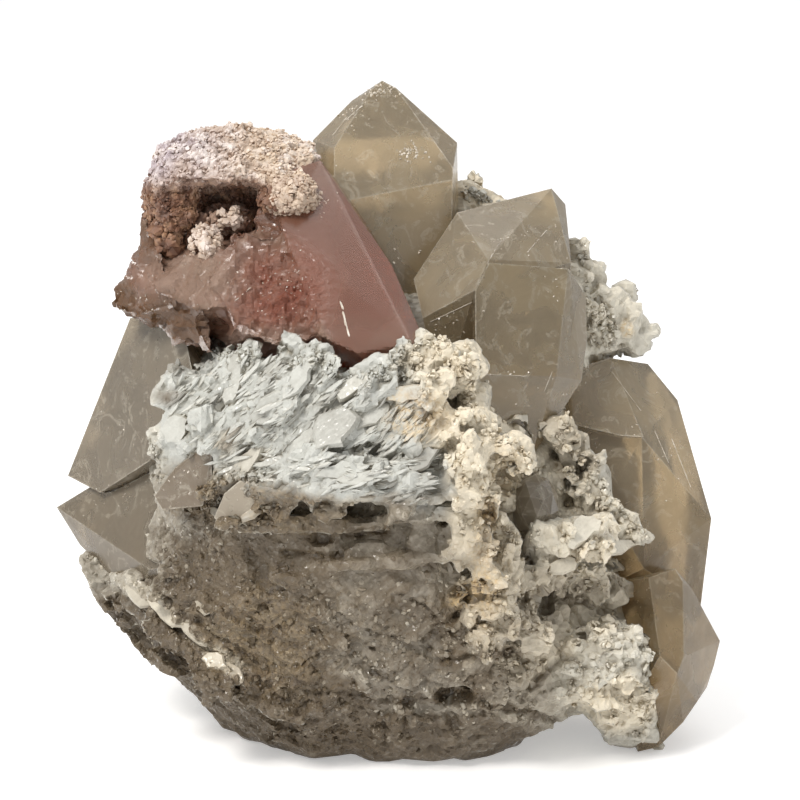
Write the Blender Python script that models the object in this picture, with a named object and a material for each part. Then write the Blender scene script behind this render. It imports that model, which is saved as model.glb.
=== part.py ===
"""Morganite on albite: a loose mineral specimen, about 100 mm wide.

The frame is +Z up, with the viewer's side at -Y and the origin under the middle of
the specimen. Corners below are in millimetres, and MM turns them into metres.
"""
import math
import random

import bmesh
import bpy
from mathutils import Matrix, Vector

MM = 0.001
GAP = 0.3 * MM                # clearance between neighbouring pieces
CRUST_GAP = 0.42 * MM         # the same round the rough crust
WELD = 0.002 * MM             # corners closer than this are one corner
BLOCK = 0.3                   # a block larger than the whole specimen, in metres
FLAT_ANGLE = math.radians(3)  # corners of one crystal face agree to within this
SAME_PLANE = math.radians(1)  # neighbouring faces closer than this are one face
ROCK_GRID = 1.3 * MM          # grid on which the rock's masses are melted together
ROCK_FACES = 1700
ROCK_GROWN_FACES = 6700
CRUST_GRID = 1.2 * MM
CRUST_FACES = 1000
SKIN_LEVEL = 0.55             # the shade of the clouds that leaves the skin where it is
FINE_SKIN = (0.45, 0.4)       # depth and size of the fine unevenness, beside the coarse

# Quartz: the tall crystal at the top.
TOP_QUARTZ = [
    (-2.6, 6.8, 97.0), (-0.9, 8.2, 98.4), (1.2, 7.1, 97.4), (9.7, -1.2, 86.3),
    (9.6, -2.4, 84.7), (-8.0, 0.8, 89.1), (-7.9, -4.9, 81.6), (10.4, 4.6, 89.4),
    (-11.4, 8.1, 89.4), (-5.5, 8.8, 95.3), (10.6, 5.8, 78.8),
    (10.0, 15.5, 86.5), (-0.5, 20.0, 84.5), (-11.2, 16.5, 85.5),
    (9.2, -3.8, 58.0), (-7.5, -6.0, 58.0), (10.2, 15.0, 58.0), (-0.5, 19.5, 58.0),
    (-11.0, 16.0, 58.0),
]

# Quartz: the broad crystal right of it, a back half and a front half side by side.
BROAD_QUARTZ_BACK = [
    (10.2, -5.0, 80.2), (24.6, 4.0, 82.6), (26.9, 7.0, 79.8), (27.8, 7.5, 72.5),
    (28.0, 5.0, 64.0), (27.0, -6.5, 73.0), (14.6, -12.6, 74.4), (9.4, -9.4, 75.7),
    (3.8, -9.9, 71.1), (5.1, -15.1, 66.2), (12.6, -16.0, 70.5),
    (24.0, 15.0, 76.0), (12.0, 14.0, 76.0), (8.0, -12.0, 54.0), (26.0, -6.0, 54.0),
    (25.0, 14.0, 54.0), (8.0, 12.0, 54.0),
]
BROAD_QUARTZ_FRONT = [
    (14.6, -14.4, 74.2), (12.6, -16.4, 70.5), (26.4, -9.6, 72.6), (29.3, -5.4, 67.9),
    (29.5, -6.6, 61.2), (28.6, -9.2, 55.8), (12.7, -18.2, 58.5), (24.6, -14.2, 57.4),
    (20.7, -14.0, 44.5), (25.5, 2.0, 70.0), (12.0, 0.0, 70.0), (27.5, 4.0, 56.0),
    (12.0, 0.0, 50.0), (22.0, 2.0, 44.0), (14.5, -16.5, 50.0),
]

# Quartz: the ridged crystal on the right flank, with a raised rounded plate on it.
FLANK_QUARTZ = [
    (33.9, 4.0, 56.6), (40.2, 10.0, 54.5), (44.8, 9.0, 49.0), (47.0, 6.0, 40.6),
    (49.5, 0.6, 32.2), (38.2, -3.6, 46.0), (26.8, -3.0, 48.4), (27.0, -2.0, 52.0),
    (32.8, -6.4, 36.4), (40.9, -4.4, 32.6), (38.6, -7.0, 26.4), (48.0, -1.2, 19.0),
    (49.3, 2.0, 28.2), (30.0, 4.0, 56.0), (38.0, 19.0, 50.0), (44.0, 17.0, 40.0),
    (46.0, 12.0, 26.0), (42.0, 14.0, 16.0), (30.0, 14.0, 46.0), (26.0, 6.0, 36.0),
    (32.0, -4.0, 22.0), (40.0, 2.0, 14.0),
]
FLANK_PLATE = [
    (33.9, 3.2, 56.8), (38.4, -4.6, 46.2), (34.9, -5.6, 46.6), (31.9, -5.8, 47.4),
    (27.8, -5.6, 48.3), (26.6, -4.6, 49.4), (26.3, -2.6, 52.2), (27.3, -1.0, 54.8),
    (29.4, 0.8, 56.0), (34.0, 6.0, 54.0), (36.0, 2.0, 44.0), (28.0, 2.0, 48.0),
]

# Quartz: the stubby crystal at the lower right, pointing at the viewer.
LOWER_QUARTZ = [
    (38.7, -13.8, 26.9), (42.8, -11.2, 27.6), (44.0, -11.6, 25.6), (43.9, -13.1, 22.6),
    (43.8, -16.8, 15.6), (40.1, -18.5, 16.3), (45.6, -9.7, 24.0), (50.4, -6.6, 14.9),
    (49.4, -8.2, 11.6), (48.2, -9.8, 8.6), (46.4, -12.9, 7.3), (42.7, -18.4, 13.5),
    (44.2, -14.4, 4.6), (40.5, -15.0, 0.9), (37.5, -14.5, 0.0), (36.5, -16.0, 8.0),
    (44.0, 4.0, 22.0), (47.0, 2.0, 12.0), (41.0, 0.0, 2.0), (34.0, -2.0, 4.0),
    (34.0, -6.0, 24.0),
]

# Quartz: the long crystal sunk in the left flank, and the wedge of the left tip.
LEFT_QUARTZ = [
    (-38.8, -0.2, 63.5), (-49.2, 2.8, 38.4), (-43.4, -4.7, 37.6), (-35.0, -12.8, 44.5),
    (-27.5, -17.6, 55.2), (-29.5, -13.0, 63.0), (-33.7, -6.8, 65.0),
    (-34.0, 12.0, 64.0), (-44.0, 15.0, 40.0), (-24.0, 4.0, 64.0), (-26.0, -4.0, 42.0),
    (-34.0, 10.0, 38.0),
]
LEFT_WEDGE = [
    (-51.0, 2.5, 33.5), (-43.8, -1.3, 38.6), (-35.6, -8.6, 41.8), (-33.0, -12.6, 36.7),
    (-27.3, -20.7, 31.5), (-35.1, -15.5, 28.6), (-47.2, -0.2, 28.2), (-38.0, -10.2, 22.6),
    (-43.0, 12.0, 35.0), (-42.0, 12.0, 26.0), (-28.0, -4.0, 24.0), (-26.0, -8.0, 36.0),
]

# Quartz: two small dark crystals at the front, left of the middle.
SMALL_LEFT = [
    (-26.5, -27.6, 49.8), (-24.8, -28.2, 49.5), (-24.8, -28.4, 45.6), (-26.2, -28.6, 41.6),
    (-33.4, -24.2, 42.0), (-32.2, -25.2, 40.2), (-30.4, -25.4, 46.3),
    (-26.0, -20.0, 48.0), (-25.0, -20.0, 41.0), (-31.0, -18.0, 41.0),
]
SMALL_RIGHT = [
    (-20.7, -31.4, 46.0), (-17.3, -32.8, 46.2), (-17.8, -33.2, 42.0), (-22.0, -32.2, 38.8),
    (-24.4, -30.6, 40.4), (-22.9, -30.8, 44.0), (-18.0, -24.0, 45.0), (-18.0, -24.0, 40.0),
    (-23.0, -24.0, 42.0),
]

# Quartz: the smooth oval grain that shows through the crust.
OVAL_GRAIN = {"at": (21.4, -20.0, 39.2), "radii": (3.5, 5.0, 5.0), "clearance": 0.5}

# Morganite: the clean prism, and the broken layers left of it.
MORGANITE_PRISM = [
    (-9.8, -8.5, 88.4), (-7.3, -11.0, 84.9), (0.7, -18.4, 74.4), (5.3, -25.6, 64.9),
    (-4.2, -29.6, 63.9), (3.5, -28.3, 65.0), (-15.1, -17.4, 79.6), (0.7, -21.7, 70.2),
    (-14.4, -9.6, 87.0), (-8.7, -28.6, 65.8), (-0.7, -27.3, 59.6), (-20.0, -13.0, 80.0),
    (-14.0, -24.5, 66.0), (-6.0, 2.0, 82.0), (-16.0, 0.0, 82.0), (2.0, -12.0, 62.0),
    (-14.0, -14.0, 60.0), (4.0, -20.0, 59.0),
]
MORGANITE_LAYERS = [
    # the etched heart, reddish inside
    [(-22.0, -17.0, 79.4), (-15.0, -17.2, 79.0), (-9.0, -26.4, 66.2), (-13.0, -28.2, 63.6),
     (-22.0, -26.0, 66.6), (-24.6, -21.0, 72.6), (-22.0, -4.0, 78.0), (-10.0, -6.0, 76.0),
     (-10.0, -14.0, 60.0), (-24.0, -12.0, 60.0)],
    # the pale shelf that steps down to the left
    [(-27.0, -14.0, 77.0), (-21.0, -18.6, 76.0), (-22.4, -23.6, 69.4), (-27.6, -21.6, 68.4),
     (-33.6, -15.0, 69.8), (-35.4, -9.6, 72.8), (-33.0, 0.0, 76.0), (-22.0, -2.0, 78.0),
     (-30.0, -6.0, 62.0), (-22.0, -12.0, 62.0)],
    # the thin edge that ends in the left tip
    [(-41.8, -6.0, 66.4), (-40.6, -5.0, 68.8), (-37.0, -5.5, 73.4), (-33.0, -10.6, 74.0),
     (-31.0, -17.6, 68.2), (-37.6, -11.2, 65.4), (-34.0, 4.0, 72.0), (-28.0, -4.0, 72.0),
     (-30.0, -10.0, 62.0), (-38.0, -4.6, 64.6)],
    # the curved horn under the brown lumps
    [(-37.6, -4.6, 73.0), (-36.8, -5.2, 79.0), (-35.6, -8.4, 79.6), (-32.8, -12.2, 74.4),
     (-34.0, -12.4, 70.0), (-30.0, 2.0, 76.0), (-30.0, 0.0, 70.0)],
    # the brown tinted foot
    [(-33.4, -13.0, 66.8), (-26.4, -21.2, 67.6), (-25.0, -20.6, 62.0), (-31.0, -13.8, 61.2),
     (-26.0, -6.0, 60.0), (-33.0, -4.0, 64.0)],
]

# Lepidolite: a granular cap, its brown lumps at the left, and the ochre ledge in front.
CRUST_MASSES = [
    [(-35.2, -5.0, 87.2), (-33.6, -6.0, 90.4), (-29.0, -6.0, 92.6), (-22.0, -4.0, 93.4),
     (-15.0, -2.0, 92.0), (-10.6, 0.0, 90.2), (-10.0, -6.0, 87.8), (-16.0, -13.5, 87.0),
     (-23.0, -16.5, 86.6), (-31.0, -14.5, 85.8), (-35.0, -9.0, 84.8), (-30.0, 9.0, 88.0),
     (-18.0, 12.0, 88.0), (-11.0, 8.0, 86.0), (-32.0, 6.0, 82.0), (-14.0, 8.0, 80.0),
     (-22.0, -9.0, 84.5)],
    [(-36.8, -5.5, 83.6), (-36.4, -5.0, 80.6), (-33.4, -11.5, 84.0), (-32.0, -12.0, 79.4),
     (-34.0, -9.0, 76.6), (-28.6, -11.6, 79.0), (-27.6, -11.0, 84.0), (-28.0, 4.0, 84.0),
     (-26.0, -2.0, 78.0), (-33.0, 4.0, 78.0)],
    [(-18.2, -15.6, 85.4), (-13.6, -16.4, 84.4), (-9.8, -14.2, 84.6), (-11.2, -12.4, 87.4),
     (-17.6, -17.0, 82.2), (-13.4, -18.2, 81.6), (-19.6, -12.0, 82.0), (-12.0, -6.0, 82.0),
     (-18.0, -6.0, 84.0)],
    [(-24.0, -6.0, 84.0), (-12.0, -5.0, 84.0), (-12.0, 6.0, 84.0), (-26.0, 6.0, 84.0),
     (-24.0, -6.0, 78.0), (-12.0, -4.0, 78.0), (-12.0, 6.0, 76.0), (-26.0, 6.0, 76.0)],
]

# Albite: the masses of the rock that carries everything, from the foot up.
ROCK_MASSES = [
    # the undercut foot
    [(-20, -14, 0), (-12, -18, 0), (6, -20, 0), (15, -17, 0), (20, -6, 0), (19, 12, 0),
     (8, 22, 0), (-10, 22, 0), (-22, 10, 0), (-25, -4, 0), (20, -6, -4), (-20, 6, -4),
     (-31, -8, 7), (-22, -20, 9), (-12, -26, 12), (4, -28, 13), (17, -26, 12),
     (28, -20, 10), (36, -13, 10), (38, 4, 11), (30, 20, 9), (10, 29, 10), (-14, 30, 10),
     (-32, 20, 10), (-39, 3, 13.5), (-47.5, 1, 25), (-44, -1, 19.5), (-38, -15, 27), (-27, -26, 27),
     (-12, -31, 29), (4, -32, 29), (14, -30, 24), (27, -21, 16), (36, -13, 16),
     (42, 0, 24), (40, 18, 26), (26, 29, 30), (4, 34, 30), (-20, 33, 30), (-39, 22, 30),
     (-45, 9, 30)],
    # the belly
    [(-44, 2, 28), (-36, -15, 30), (-26, -25, 29), (-10, -31, 30), (6, -31, 30),
     (14, -27, 28), (26, -14, 26), (36, -4, 26), (40, 14, 28), (26, 28, 30), (4, 34, 30),
     (-20, 33, 30), (-39, 22, 30), (-39, 3, 43), (-32, -16, 44), (-22, -27, 44),
     (-6, -31, 45), (7, -31, 48), (13, -23, 47), (22, -11, 44), (30, -3, 43),
     (38, 10, 44), (35, 20, 48), (20, 30, 48), (-4, 33, 48), (-26, 28, 48), (-38, 16, 44),
     (-33, -6, 60), (-25, -19, 60), (-12, -23, 60), (4, -22, 62), (13, -16, 58),
     (24, -6, 56), (32, 6, 57), (34, 16, 58), (20, 26, 62), (-4, 29, 62), (-24, 24, 60),
     (-33, 10, 58)],
    # the shoulders behind the crystals
    [(-33, -4, 58), (-24, -10, 62), (6, -10, 62), (26, 0, 58), (34, 8, 58), (35, 16, 58),
     (20, 27, 60), (-4, 29, 60), (-24, 24, 58), (-34, 8, 58), (-32, 3, 71), (-24, -4, 76),
     (-8, -2, 76), (6, 4, 78), (13, 11, 83), (19, 12, 82), (26, 12, 75), (31, 13, 67),
     (36, 13, 60), (27, 21, 66), (12, 22, 76), (-10, 22, 76), (-27, 14, 74)],
    # the block under the bladed shelf
    [(-30, -20, 55), (-20, -27, 60), (-6, -30, 59), (6, -30, 56), (8, -32, 50),
     (-4, -34, 47), (-18, -31, 46), (-28, -26, 46), (-24, -12, 60), (4, -14, 60),
     (-26, -14, 44), (6, -20, 44)],
    # the right foot
    [(36, -19, 4), (42, -15, 1), (42, -8, 1), (34, -10, -3), (40, -12, -3), (30, -20, 9),
     (36, -22, 12), (38, -21, 18), (30, -23, 18), (26, -18, 14), (40, -8, 18),
     (44, -2, 10), (38, 4, 4), (30, 0, 6)],
    # the white shoulder behind the right flank
    [(27.6, 3.0, 73), (28.4, 8, 75), (33, 10, 67.5), (37, 11, 61), (39.4, 11, 56), (30, 0, 58),
     (36, 18, 56), (28, 19, 70), (26, 6, 60)],
    # the white hump beside the lower right crystal
    [(26, -22, 17), (31, -25, 19), (36.6, -22.6, 20.6), (37.4, -21.4, 14), (33, -23, 10),
     (27, -23, 11), (34, -14, 22), (24, -16, 20), (38, -14, 16)],
]

# Albite growths: a knobbly ridge runs down the front right, and spurs leave it.
RIDGES = [
    {"name": "crown", "from": (2.5, -27.0, 61.5), "bend": (7.5, -27.5, 65.0),
     "to": (12.6, -26.0, 57.5), "size": 4.0, "count": 7},
    {"name": "spine_top", "from": (12.0, -27.5, 56.0), "bend": (9.5, -33.0, 51.0),
     "to": (12.5, -32.5, 43.0), "size": 3.6, "count": 7},
    {"name": "spine_low", "from": (12.6, -32.0, 43.0), "bend": (12.0, -34.0, 33.0),
     "to": (16.0, -30.0, 21.5), "size": 3.2, "count": 9},
    {"name": "spur_top", "from": (12.5, -30.0, 50.0), "bend": (20.5, -27.0, 49.0),
     "to": (25.0, -19.5, 41.0), "size": 3.0, "count": 7},
    {"name": "spur_middle", "from": (16.0, -29.5, 38.0), "bend": (20.0, -29.0, 31.0),
     "to": (21.5, -26.5, 22.5), "size": 2.8, "count": 6},
    {"name": "spur_right", "from": (20.5, -24.5, 36.0), "bend": (29.0, -21.0, 34.0),
     "to": (34.5, -13.0, 34.0), "size": 3.3, "count": 8},
    {"name": "valley_top", "from": (25.5, -12.5, 47.0), "bend": (29.0, -11.0, 42.0),
     "to": (31.0, -9.0, 37.0), "size": 3.0, "count": 6},
    {"name": "valley_foot", "from": (24.0, -17.5, 30.0), "bend": (28.0, -16.5, 25.0),
     "to": (34.0, -12.5, 24.0), "size": 3.0, "count": 6},
    {"name": "left_knobs", "from": (-31.5, -17.5, 58.0), "bend": (-29.0, -22.5, 57.0),
     "to": (-25.0, -25.5, 53.0), "size": 3.0, "count": 6},
    {"name": "right_shoulder", "from": (29.0, 7.0, 72.0), "bend": (34.0, 8.0, 66.0),
     "to": (37.5, 9.0, 58.5), "size": 2.6, "count": 6},
    {"name": "back_crest", "from": (-22.0, 16.0, 76.0), "bend": (0.0, 22.0, 76.0),
     "to": (22.0, 18.0, 77.0), "size": 4.2, "count": 7},
]

# Cleavelandite: rows of flat blades that lean up and to the right like shingles.
BLADE_ROWS = [
    {"from": (-29.0, -24.5, 50.0), "to": (-20.5, -25.5, 60.5), "count": 6, "length": 9.0},
    {"from": (-24.0, -28.5, 47.5), "to": (-11.5, -29.5, 61.0), "count": 7, "length": 10.0},
    {"from": (-18.0, -31.0, 46.5), "to": (-4.0, -31.5, 60.0), "count": 7, "length": 11.0},
    {"from": (-12.5, -33.0, 46.0), "to": (2.5, -31.5, 57.5), "count": 7, "length": 11.0},
    {"from": (-6.5, -33.5, 46.0), "to": (6.5, -32.5, 53.5), "count": 6, "length": 9.5},
]
BLADE_LEAN = math.radians(38)   # of a blade's length above the horizontal
BLADE_WIDTH = 6.0
BLADE_THICK = 1.7
SHELF_ROW = {"from": (-15.0, -33.0, 46.4), "to": (6.0, -32.5, 45.6), "count": 7,
             "length": 8.5, "width": 7.0}
BACK_BLADES = {"from": (-20.0, 29.6, 53.0), "to": (15.0, 29.2, 47.0), "count": 8,
               "length": 12.0}

# Ledges: broken shelves of rock, each a row of flat overlapping chunks.
LEDGES = [
    {"from": (-18.0, -28.6, 40.0), "to": (7.0, -31.0, 40.8), "count": 6, "size": 3.6},
    {"from": (-14.0, -29.4, 33.0), "to": (7.0, -30.4, 35.0), "count": 5, "size": 3.0},
    {"from": (-39.0, -7.0, 23.0), "to": (-24.0, -22.5, 15.5), "count": 5, "size": 3.4},
    {"from": (-31.0, -11.5, 13.0), "to": (-15.0, -23.0, 9.5), "count": 5, "size": 3.2},
]

# Fractures: flat breaks that the rock split along, each a point and the way it faces.
FRACTURES = [
    ((0.0, 30.4, 46.0), (-0.10, 0.97, 0.20)),
    ((-17.0, 24.5, 62.0), (-0.50, 0.66, 0.56)),
    ((24.0, 23.5, 60.0), (0.46, 0.76, 0.46)),
    ((4.0, 27.0, 16.0), (0.10, 0.76, -0.64)),
    ((-33.0, 21.0, 34.0), (-0.74, 0.66, -0.12)),
    ((-36.0, 8.0, 15.0), (-0.76, 0.14, -0.64)),
    ((36.0, 19.0, 34.0), (0.80, 0.60, 0.06)),
    ((26.0, 19.0, 8.5), (0.34, 0.50, -0.80)),
    ((-33.0, 12.0, 60.0), (-0.88, 0.36, 0.32)),
    ((-25.0, -20.5, 13.0), (-0.50, -0.58, -0.64)),
    ((8.0, -28.4, 13.0), (0.10, -0.90, -0.42)),
]

# Pits and hollows in the rock.
PITS = [
    [(-8.6, -40, 42.4), (-2.2, -40, 43.2), (-2.0, -40, 41.0), (-8.2, -40, 40.4),
     (-7.2, -28, 42.0), (-3.4, -28, 42.4), (-3.4, -28, 41.2), (-7.0, -28, 41.0)],
    [(-13.2, -40, 38.2), (-10.0, -40, 38.4), (-10.2, -40, 36.6), (-13.4, -40, 36.6),
     (-12.4, -28, 37.6), (-10.8, -28, 37.8), (-11.0, -28, 37.0), (-12.4, -28, 37.0)],
    [(5.8, -38, 13.0), (10.4, -38, 13.2), (10.2, -38, 11.2), (5.8, -38, 11.2),
     (6.6, -22, 12.8), (9.6, -22, 12.8), (9.6, -22, 11.8), (6.6, -22, 11.8)],
    [(15.8, -42, 44.0), (18.6, -42, 44.4), (18.0, -42, 40.8), (15.6, -42, 40.6),
     (16.6, -22, 43.0), (18.0, -22, 43.2), (17.6, -22, 41.4), (16.4, -22, 41.4)],
]
ARCH = [(18.0, -40, -2), (34.0, -40, -2), (31.0, -40, 4.0), (21.0, -40, 3.4),
        (20.0, 40, -2), (36.0, 40, -2), (33.0, 40, 4.5), (23.0, 40, 3.6)]

# The space below the specimen, which leaves the foot flat.
BELOW = [(x, y, z) for x in (-80, 80) for y in (-80, 80) for z in (-30, 0)]


def clear_scene():
    for old in list(bpy.data.objects):
        bpy.data.objects.remove(old, do_unlink=True)


def material(name, colour, roughness, alpha=1.0):
    made = bpy.data.materials.new(name)
    made.use_nodes = True
    made.diffuse_color = (*colour, alpha)
    shader = made.node_tree.nodes["Principled BSDF"]
    shader.inputs["Base Color"].default_value = (*colour, 1.0)
    shader.inputs["Roughness"].default_value = roughness
    shader.inputs["Metallic"].default_value = 0.0
    shader.inputs["Transmission Weight"].default_value = 1.0 - alpha
    return made


def hull(points):
    """The flat-faced solid that stretches over the given corners."""
    shape = bmesh.new()
    for point in points:
        shape.verts.new(Vector(point) * MM)
    made = bmesh.ops.convex_hull(shape, input=shape.verts[:])
    inside = {v for v in made["geom_interior"] if isinstance(v, bmesh.types.BMVert)}
    inside |= {v for v in shape.verts if not v.link_faces}
    bmesh.ops.delete(shape, geom=list(inside), context="VERTS")
    bmesh.ops.dissolve_limit(shape, angle_limit=FLAT_ANGLE, verts=shape.verts[:],
                             edges=shape.edges[:])
    bmesh.ops.recalc_face_normals(shape, faces=shape.faces[:])
    return shape


def grown(points):
    """The same solid with every face moved out by the gap."""
    shape = hull(points)
    planes = [(face.calc_center_median() + face.normal * GAP, face.normal.copy())
              for face in shape.faces]
    shape.free()
    block = bmesh.new()
    bmesh.ops.create_cube(block, size=BLOCK)
    for spot, normal in planes:
        cut = bmesh.ops.bisect_plane(block, geom=block.verts[:] + block.edges[:] + block.faces[:],
                                     plane_co=spot, plane_no=normal, clear_outer=True)
        rim = [e for e in cut["geom_cut"] if isinstance(e, bmesh.types.BMEdge)]
        if rim:
            bmesh.ops.contextual_create(block, geom=rim)
    bmesh.ops.recalc_face_normals(block, faces=block.faces[:])
    return block


def add_object(name, shape, home=None):
    mesh = bpy.data.meshes.new(name)
    shape.to_mesh(mesh)
    shape.free()
    made = bpy.data.objects.new(name, mesh)
    (home or bpy.context.scene.collection).objects.link(made)
    return made


def guide_collection(name, shapes):
    """Keep helper solids together, out of the model itself."""
    home = bpy.data.collections.new(name)
    bpy.context.scene.collection.children.link(home)
    for index, shape in enumerate(shapes):
        guide = add_object(f"{name}_{index}", shape, home)
        guide.hide_render = True
        guide.display_type = "WIRE"
    return home


def apply_modifiers(thing):
    """Turn what the modifiers show into the object's own mesh."""
    graph = bpy.context.evaluated_depsgraph_get()
    shown = bpy.data.meshes.new_from_object(thing.evaluated_get(graph))
    thing.modifiers.clear()
    thing.data = shown


def combine(thing, home, operation):
    change = thing.modifiers.new(home.name, "BOOLEAN")
    change.operation = operation
    change.operand_type = "COLLECTION"
    change.collection = home
    change.solver = "EXACT"
    apply_modifiers(thing)


def keep_main_body(thing):
    """Drop crumbs that a cut has freed, and triangulate what stays."""
    shape = bmesh.new()
    shape.from_mesh(thing.data)
    bmesh.ops.remove_doubles(shape, verts=shape.verts[:], dist=WELD)
    bmesh.ops.dissolve_degenerate(shape, edges=shape.edges[:], dist=WELD)
    bmesh.ops.dissolve_limit(shape, angle_limit=SAME_PLANE, verts=shape.verts[:],
                             edges=shape.edges[:])
    bmesh.ops.triangulate(shape, faces=shape.faces[:])
    left = set(shape.faces)
    bodies = []
    while left:
        front = [left.pop()]
        body = set(front)
        while front:
            for edge in front.pop().edges:
                for face in edge.link_faces:
                    if face in left:
                        left.discard(face)
                        body.add(face)
                        front.append(face)
        bodies.append(body)
    main = max(bodies, key=len)
    crumbs = [f for f in shape.faces if f not in main]
    bmesh.ops.delete(shape, geom=crumbs, context="FACES")
    bmesh.ops.recalc_face_normals(shape, faces=shape.faces[:])
    shape.to_mesh(thing.data)
    shape.free()


def finish(thing, look):
    keep_main_body(thing)
    thing.data.materials.clear()
    thing.data.materials.append(look)
    return thing


def joined_crystals(name, parts, look, neighbours=()):
    """One crystal, or several grown into each other, cut back where neighbours stand."""
    made = add_object(name, hull(parts[0]))
    if len(parts) > 1:
        combine(made, guide_collection(name + "_parts", [hull(p) for p in parts[1:]]), "UNION")
    if neighbours:
        combine(made, guide_collection(name + "_seat", [grown(p) for p in neighbours]),
                "DIFFERENCE")
    return finish(made, look)


def facet(thing, faces):
    """Fewer, larger faces, with the main forms kept."""
    thing.data.calc_loop_triangles()
    thin = thing.modifiers.new("facets", "DECIMATE")
    thin.ratio = faces / len(thing.data.loop_triangles)
    thin.use_collapse_triangulate = True
    apply_modifiers(thing)


def melted(name, masses, grid, faces, rough, grain):
    """Masses melted into one lump with an uneven skin, then faceted."""
    lump = bmesh.new()
    for points in masses:
        piece = hull(points)
        held = bpy.data.meshes.new("mass")
        piece.to_mesh(held)
        piece.free()
        lump.from_mesh(held)
        bpy.data.meshes.remove(held)
    made = add_object(name, lump)
    grid_step = made.modifiers.new("melt", "REMESH")
    grid_step.mode = "VOXEL"
    grid_step.voxel_size = grid
    fine = (rough * FINE_SKIN[0], grain * FINE_SKIN[1])
    for index, (depth, size) in enumerate(((rough, grain), fine)):
        skin = bpy.data.textures.new(f"{name}_skin_{index}", "CLOUDS")
        skin.noise_scale = size
        skin.noise_depth = 1
        push = made.modifiers.new(f"skin_{index}", "DISPLACE")
        push.texture = skin
        push.texture_coords = "LOCAL"
        push.strength = depth
        push.mid_level = SKIN_LEVEL
    apply_modifiers(made)
    facet(made, faces)
    return made


def along(start, bend, end, part):
    """A point on the bent line that runs from start to end."""
    start, bend, end = Vector(start), Vector(bend), Vector(end)
    return start * (1 - part) ** 2 + bend * 2 * part * (1 - part) + end * part ** 2


def knob(centre, size, dice):
    """A blocky lump with flat cleavage faces."""
    turn = Matrix.Rotation(dice.uniform(0, math.tau), 3, "Z")
    turn = turn @ Matrix.Rotation(dice.uniform(-0.6, 0.6), 3, "X")
    corners = []
    for x in (-1, 1):
        for y in (-1, 1):
            for z in (-1, 1):
                spread = Vector((x * dice.uniform(0.45, 0.8), y * dice.uniform(0.4, 0.75),
                                 z * dice.uniform(0.4, 0.75)))
                corners.append(centre + turn @ (spread * size))
    corners.append(centre + turn @ Vector((0, 0, size)))
    return hull(corners)


def ridge_knobs(dice):
    shapes = []
    for ridge in RIDGES:
        for index in range(ridge["count"]):
            part = index / (ridge["count"] - 1)
            spot = along(ridge["from"], ridge["bend"], ridge["to"], part)
            jitter = Vector([dice.uniform(-0.45, 0.45) * ridge["size"] for _ in range(3)])
            shapes.append(knob(spot + jitter, ridge["size"] * dice.uniform(0.75, 1.3), dice))
    return shapes


def blade(base, run, out, length, width, thick):
    """A flat blade with a blunt chisel end: run is its length, out its flat side."""
    run = run.normalized()
    out = (out - out.dot(run) * run).normalized()
    side = run.cross(out)
    outline = [(-0.5, 0.45), (-0.5, -0.45), (0.32, -0.5), (0.5, -0.18), (0.42, 0.34), (0.2, 0.5)]
    corners = []
    for along_run, across in outline:
        flat = base + run * along_run * length + side * across * width
        corners.append(flat + out * thick * 0.5)
        corners.append(flat - out * thick * 0.5)
    return hull(corners)


def ledge_chunks(dice):
    """Flat chunks laid end to end along each ledge."""
    shapes = []
    for ledge in LEDGES:
        start, end = Vector(ledge["from"]), Vector(ledge["to"])
        along_ledge = (end - start).normalized()
        for index in range(ledge["count"]):
            spot = start.lerp(end, index / (ledge["count"] - 1))
            spot += Vector([dice.uniform(-1.0, 1.0) for _ in range(3)])
            up = Vector((dice.uniform(-0.4, 0.4), dice.uniform(-0.5, 0.1), 1.0))
            turn = Matrix.Rotation(dice.uniform(-0.5, 0.5), 3, "Z")
            shapes.append(blade(spot, turn @ along_ledge, up,
                                ledge["size"] * dice.uniform(1.8, 2.6),
                                ledge["size"] * dice.uniform(1.5, 2.1),
                                ledge["size"] * dice.uniform(0.45, 0.75)))
    return shapes


def fan_blades(dice):
    """Shingled rows of blades on the front."""
    shapes = []
    for row in BLADE_ROWS:
        start, end = Vector(row["from"]), Vector(row["to"])
        for index in range(row["count"]):
            part = index / (row["count"] - 1)
            lean = BLADE_LEAN + dice.uniform(-0.22, 0.22)
            run = Vector((math.cos(lean), -0.18 + dice.uniform(-0.1, 0.1), math.sin(lean)))
            out = Vector((-0.35 + dice.uniform(-0.2, 0.2), -0.9, 0.35 + dice.uniform(-0.2, 0.2)))
            spot = start.lerp(end, part) + Vector((dice.uniform(-0.8, 0.8), dice.uniform(-0.5, 0.5), 0))
            shapes.append(blade(spot, run, out, row["length"] * dice.uniform(0.8, 1.1),
                                BLADE_WIDTH * dice.uniform(0.8, 1.2), BLADE_THICK))
    return shapes


def shelf_blades(dice):
    """The nearly level blades of the shelf that ends the fan below."""
    shapes = []
    start, end = Vector(SHELF_ROW["from"]), Vector(SHELF_ROW["to"])
    for index in range(SHELF_ROW["count"]):
        spot = start.lerp(end, index / (SHELF_ROW["count"] - 1))
        run = Vector((0.9, -0.25, 0.05 + dice.uniform(-0.1, 0.15)))
        out = Vector((dice.uniform(-0.15, 0.15), -0.35, 0.93))
        shapes.append(blade(spot, run, out, SHELF_ROW["length"], SHELF_ROW["width"], BLADE_THICK))
    return shapes


def back_blades(dice):
    """One loose row of blades on the back."""
    shapes = []
    start, end = Vector(BACK_BLADES["from"]), Vector(BACK_BLADES["to"])
    for index in range(BACK_BLADES["count"]):
        part = index / (BACK_BLADES["count"] - 1)
        run = Vector((0.5 + dice.uniform(-0.2, 0.2), 0.3, 0.8))
        out = Vector((-0.3, 0.9, 0.3))
        spot = start.lerp(end, part) + Vector((0, dice.uniform(-0.6, 0.6), dice.uniform(-4, 4)))
        shapes.append(blade(spot, run, out, BACK_BLADES["length"], BLADE_WIDTH, BLADE_THICK))
    return shapes


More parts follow.
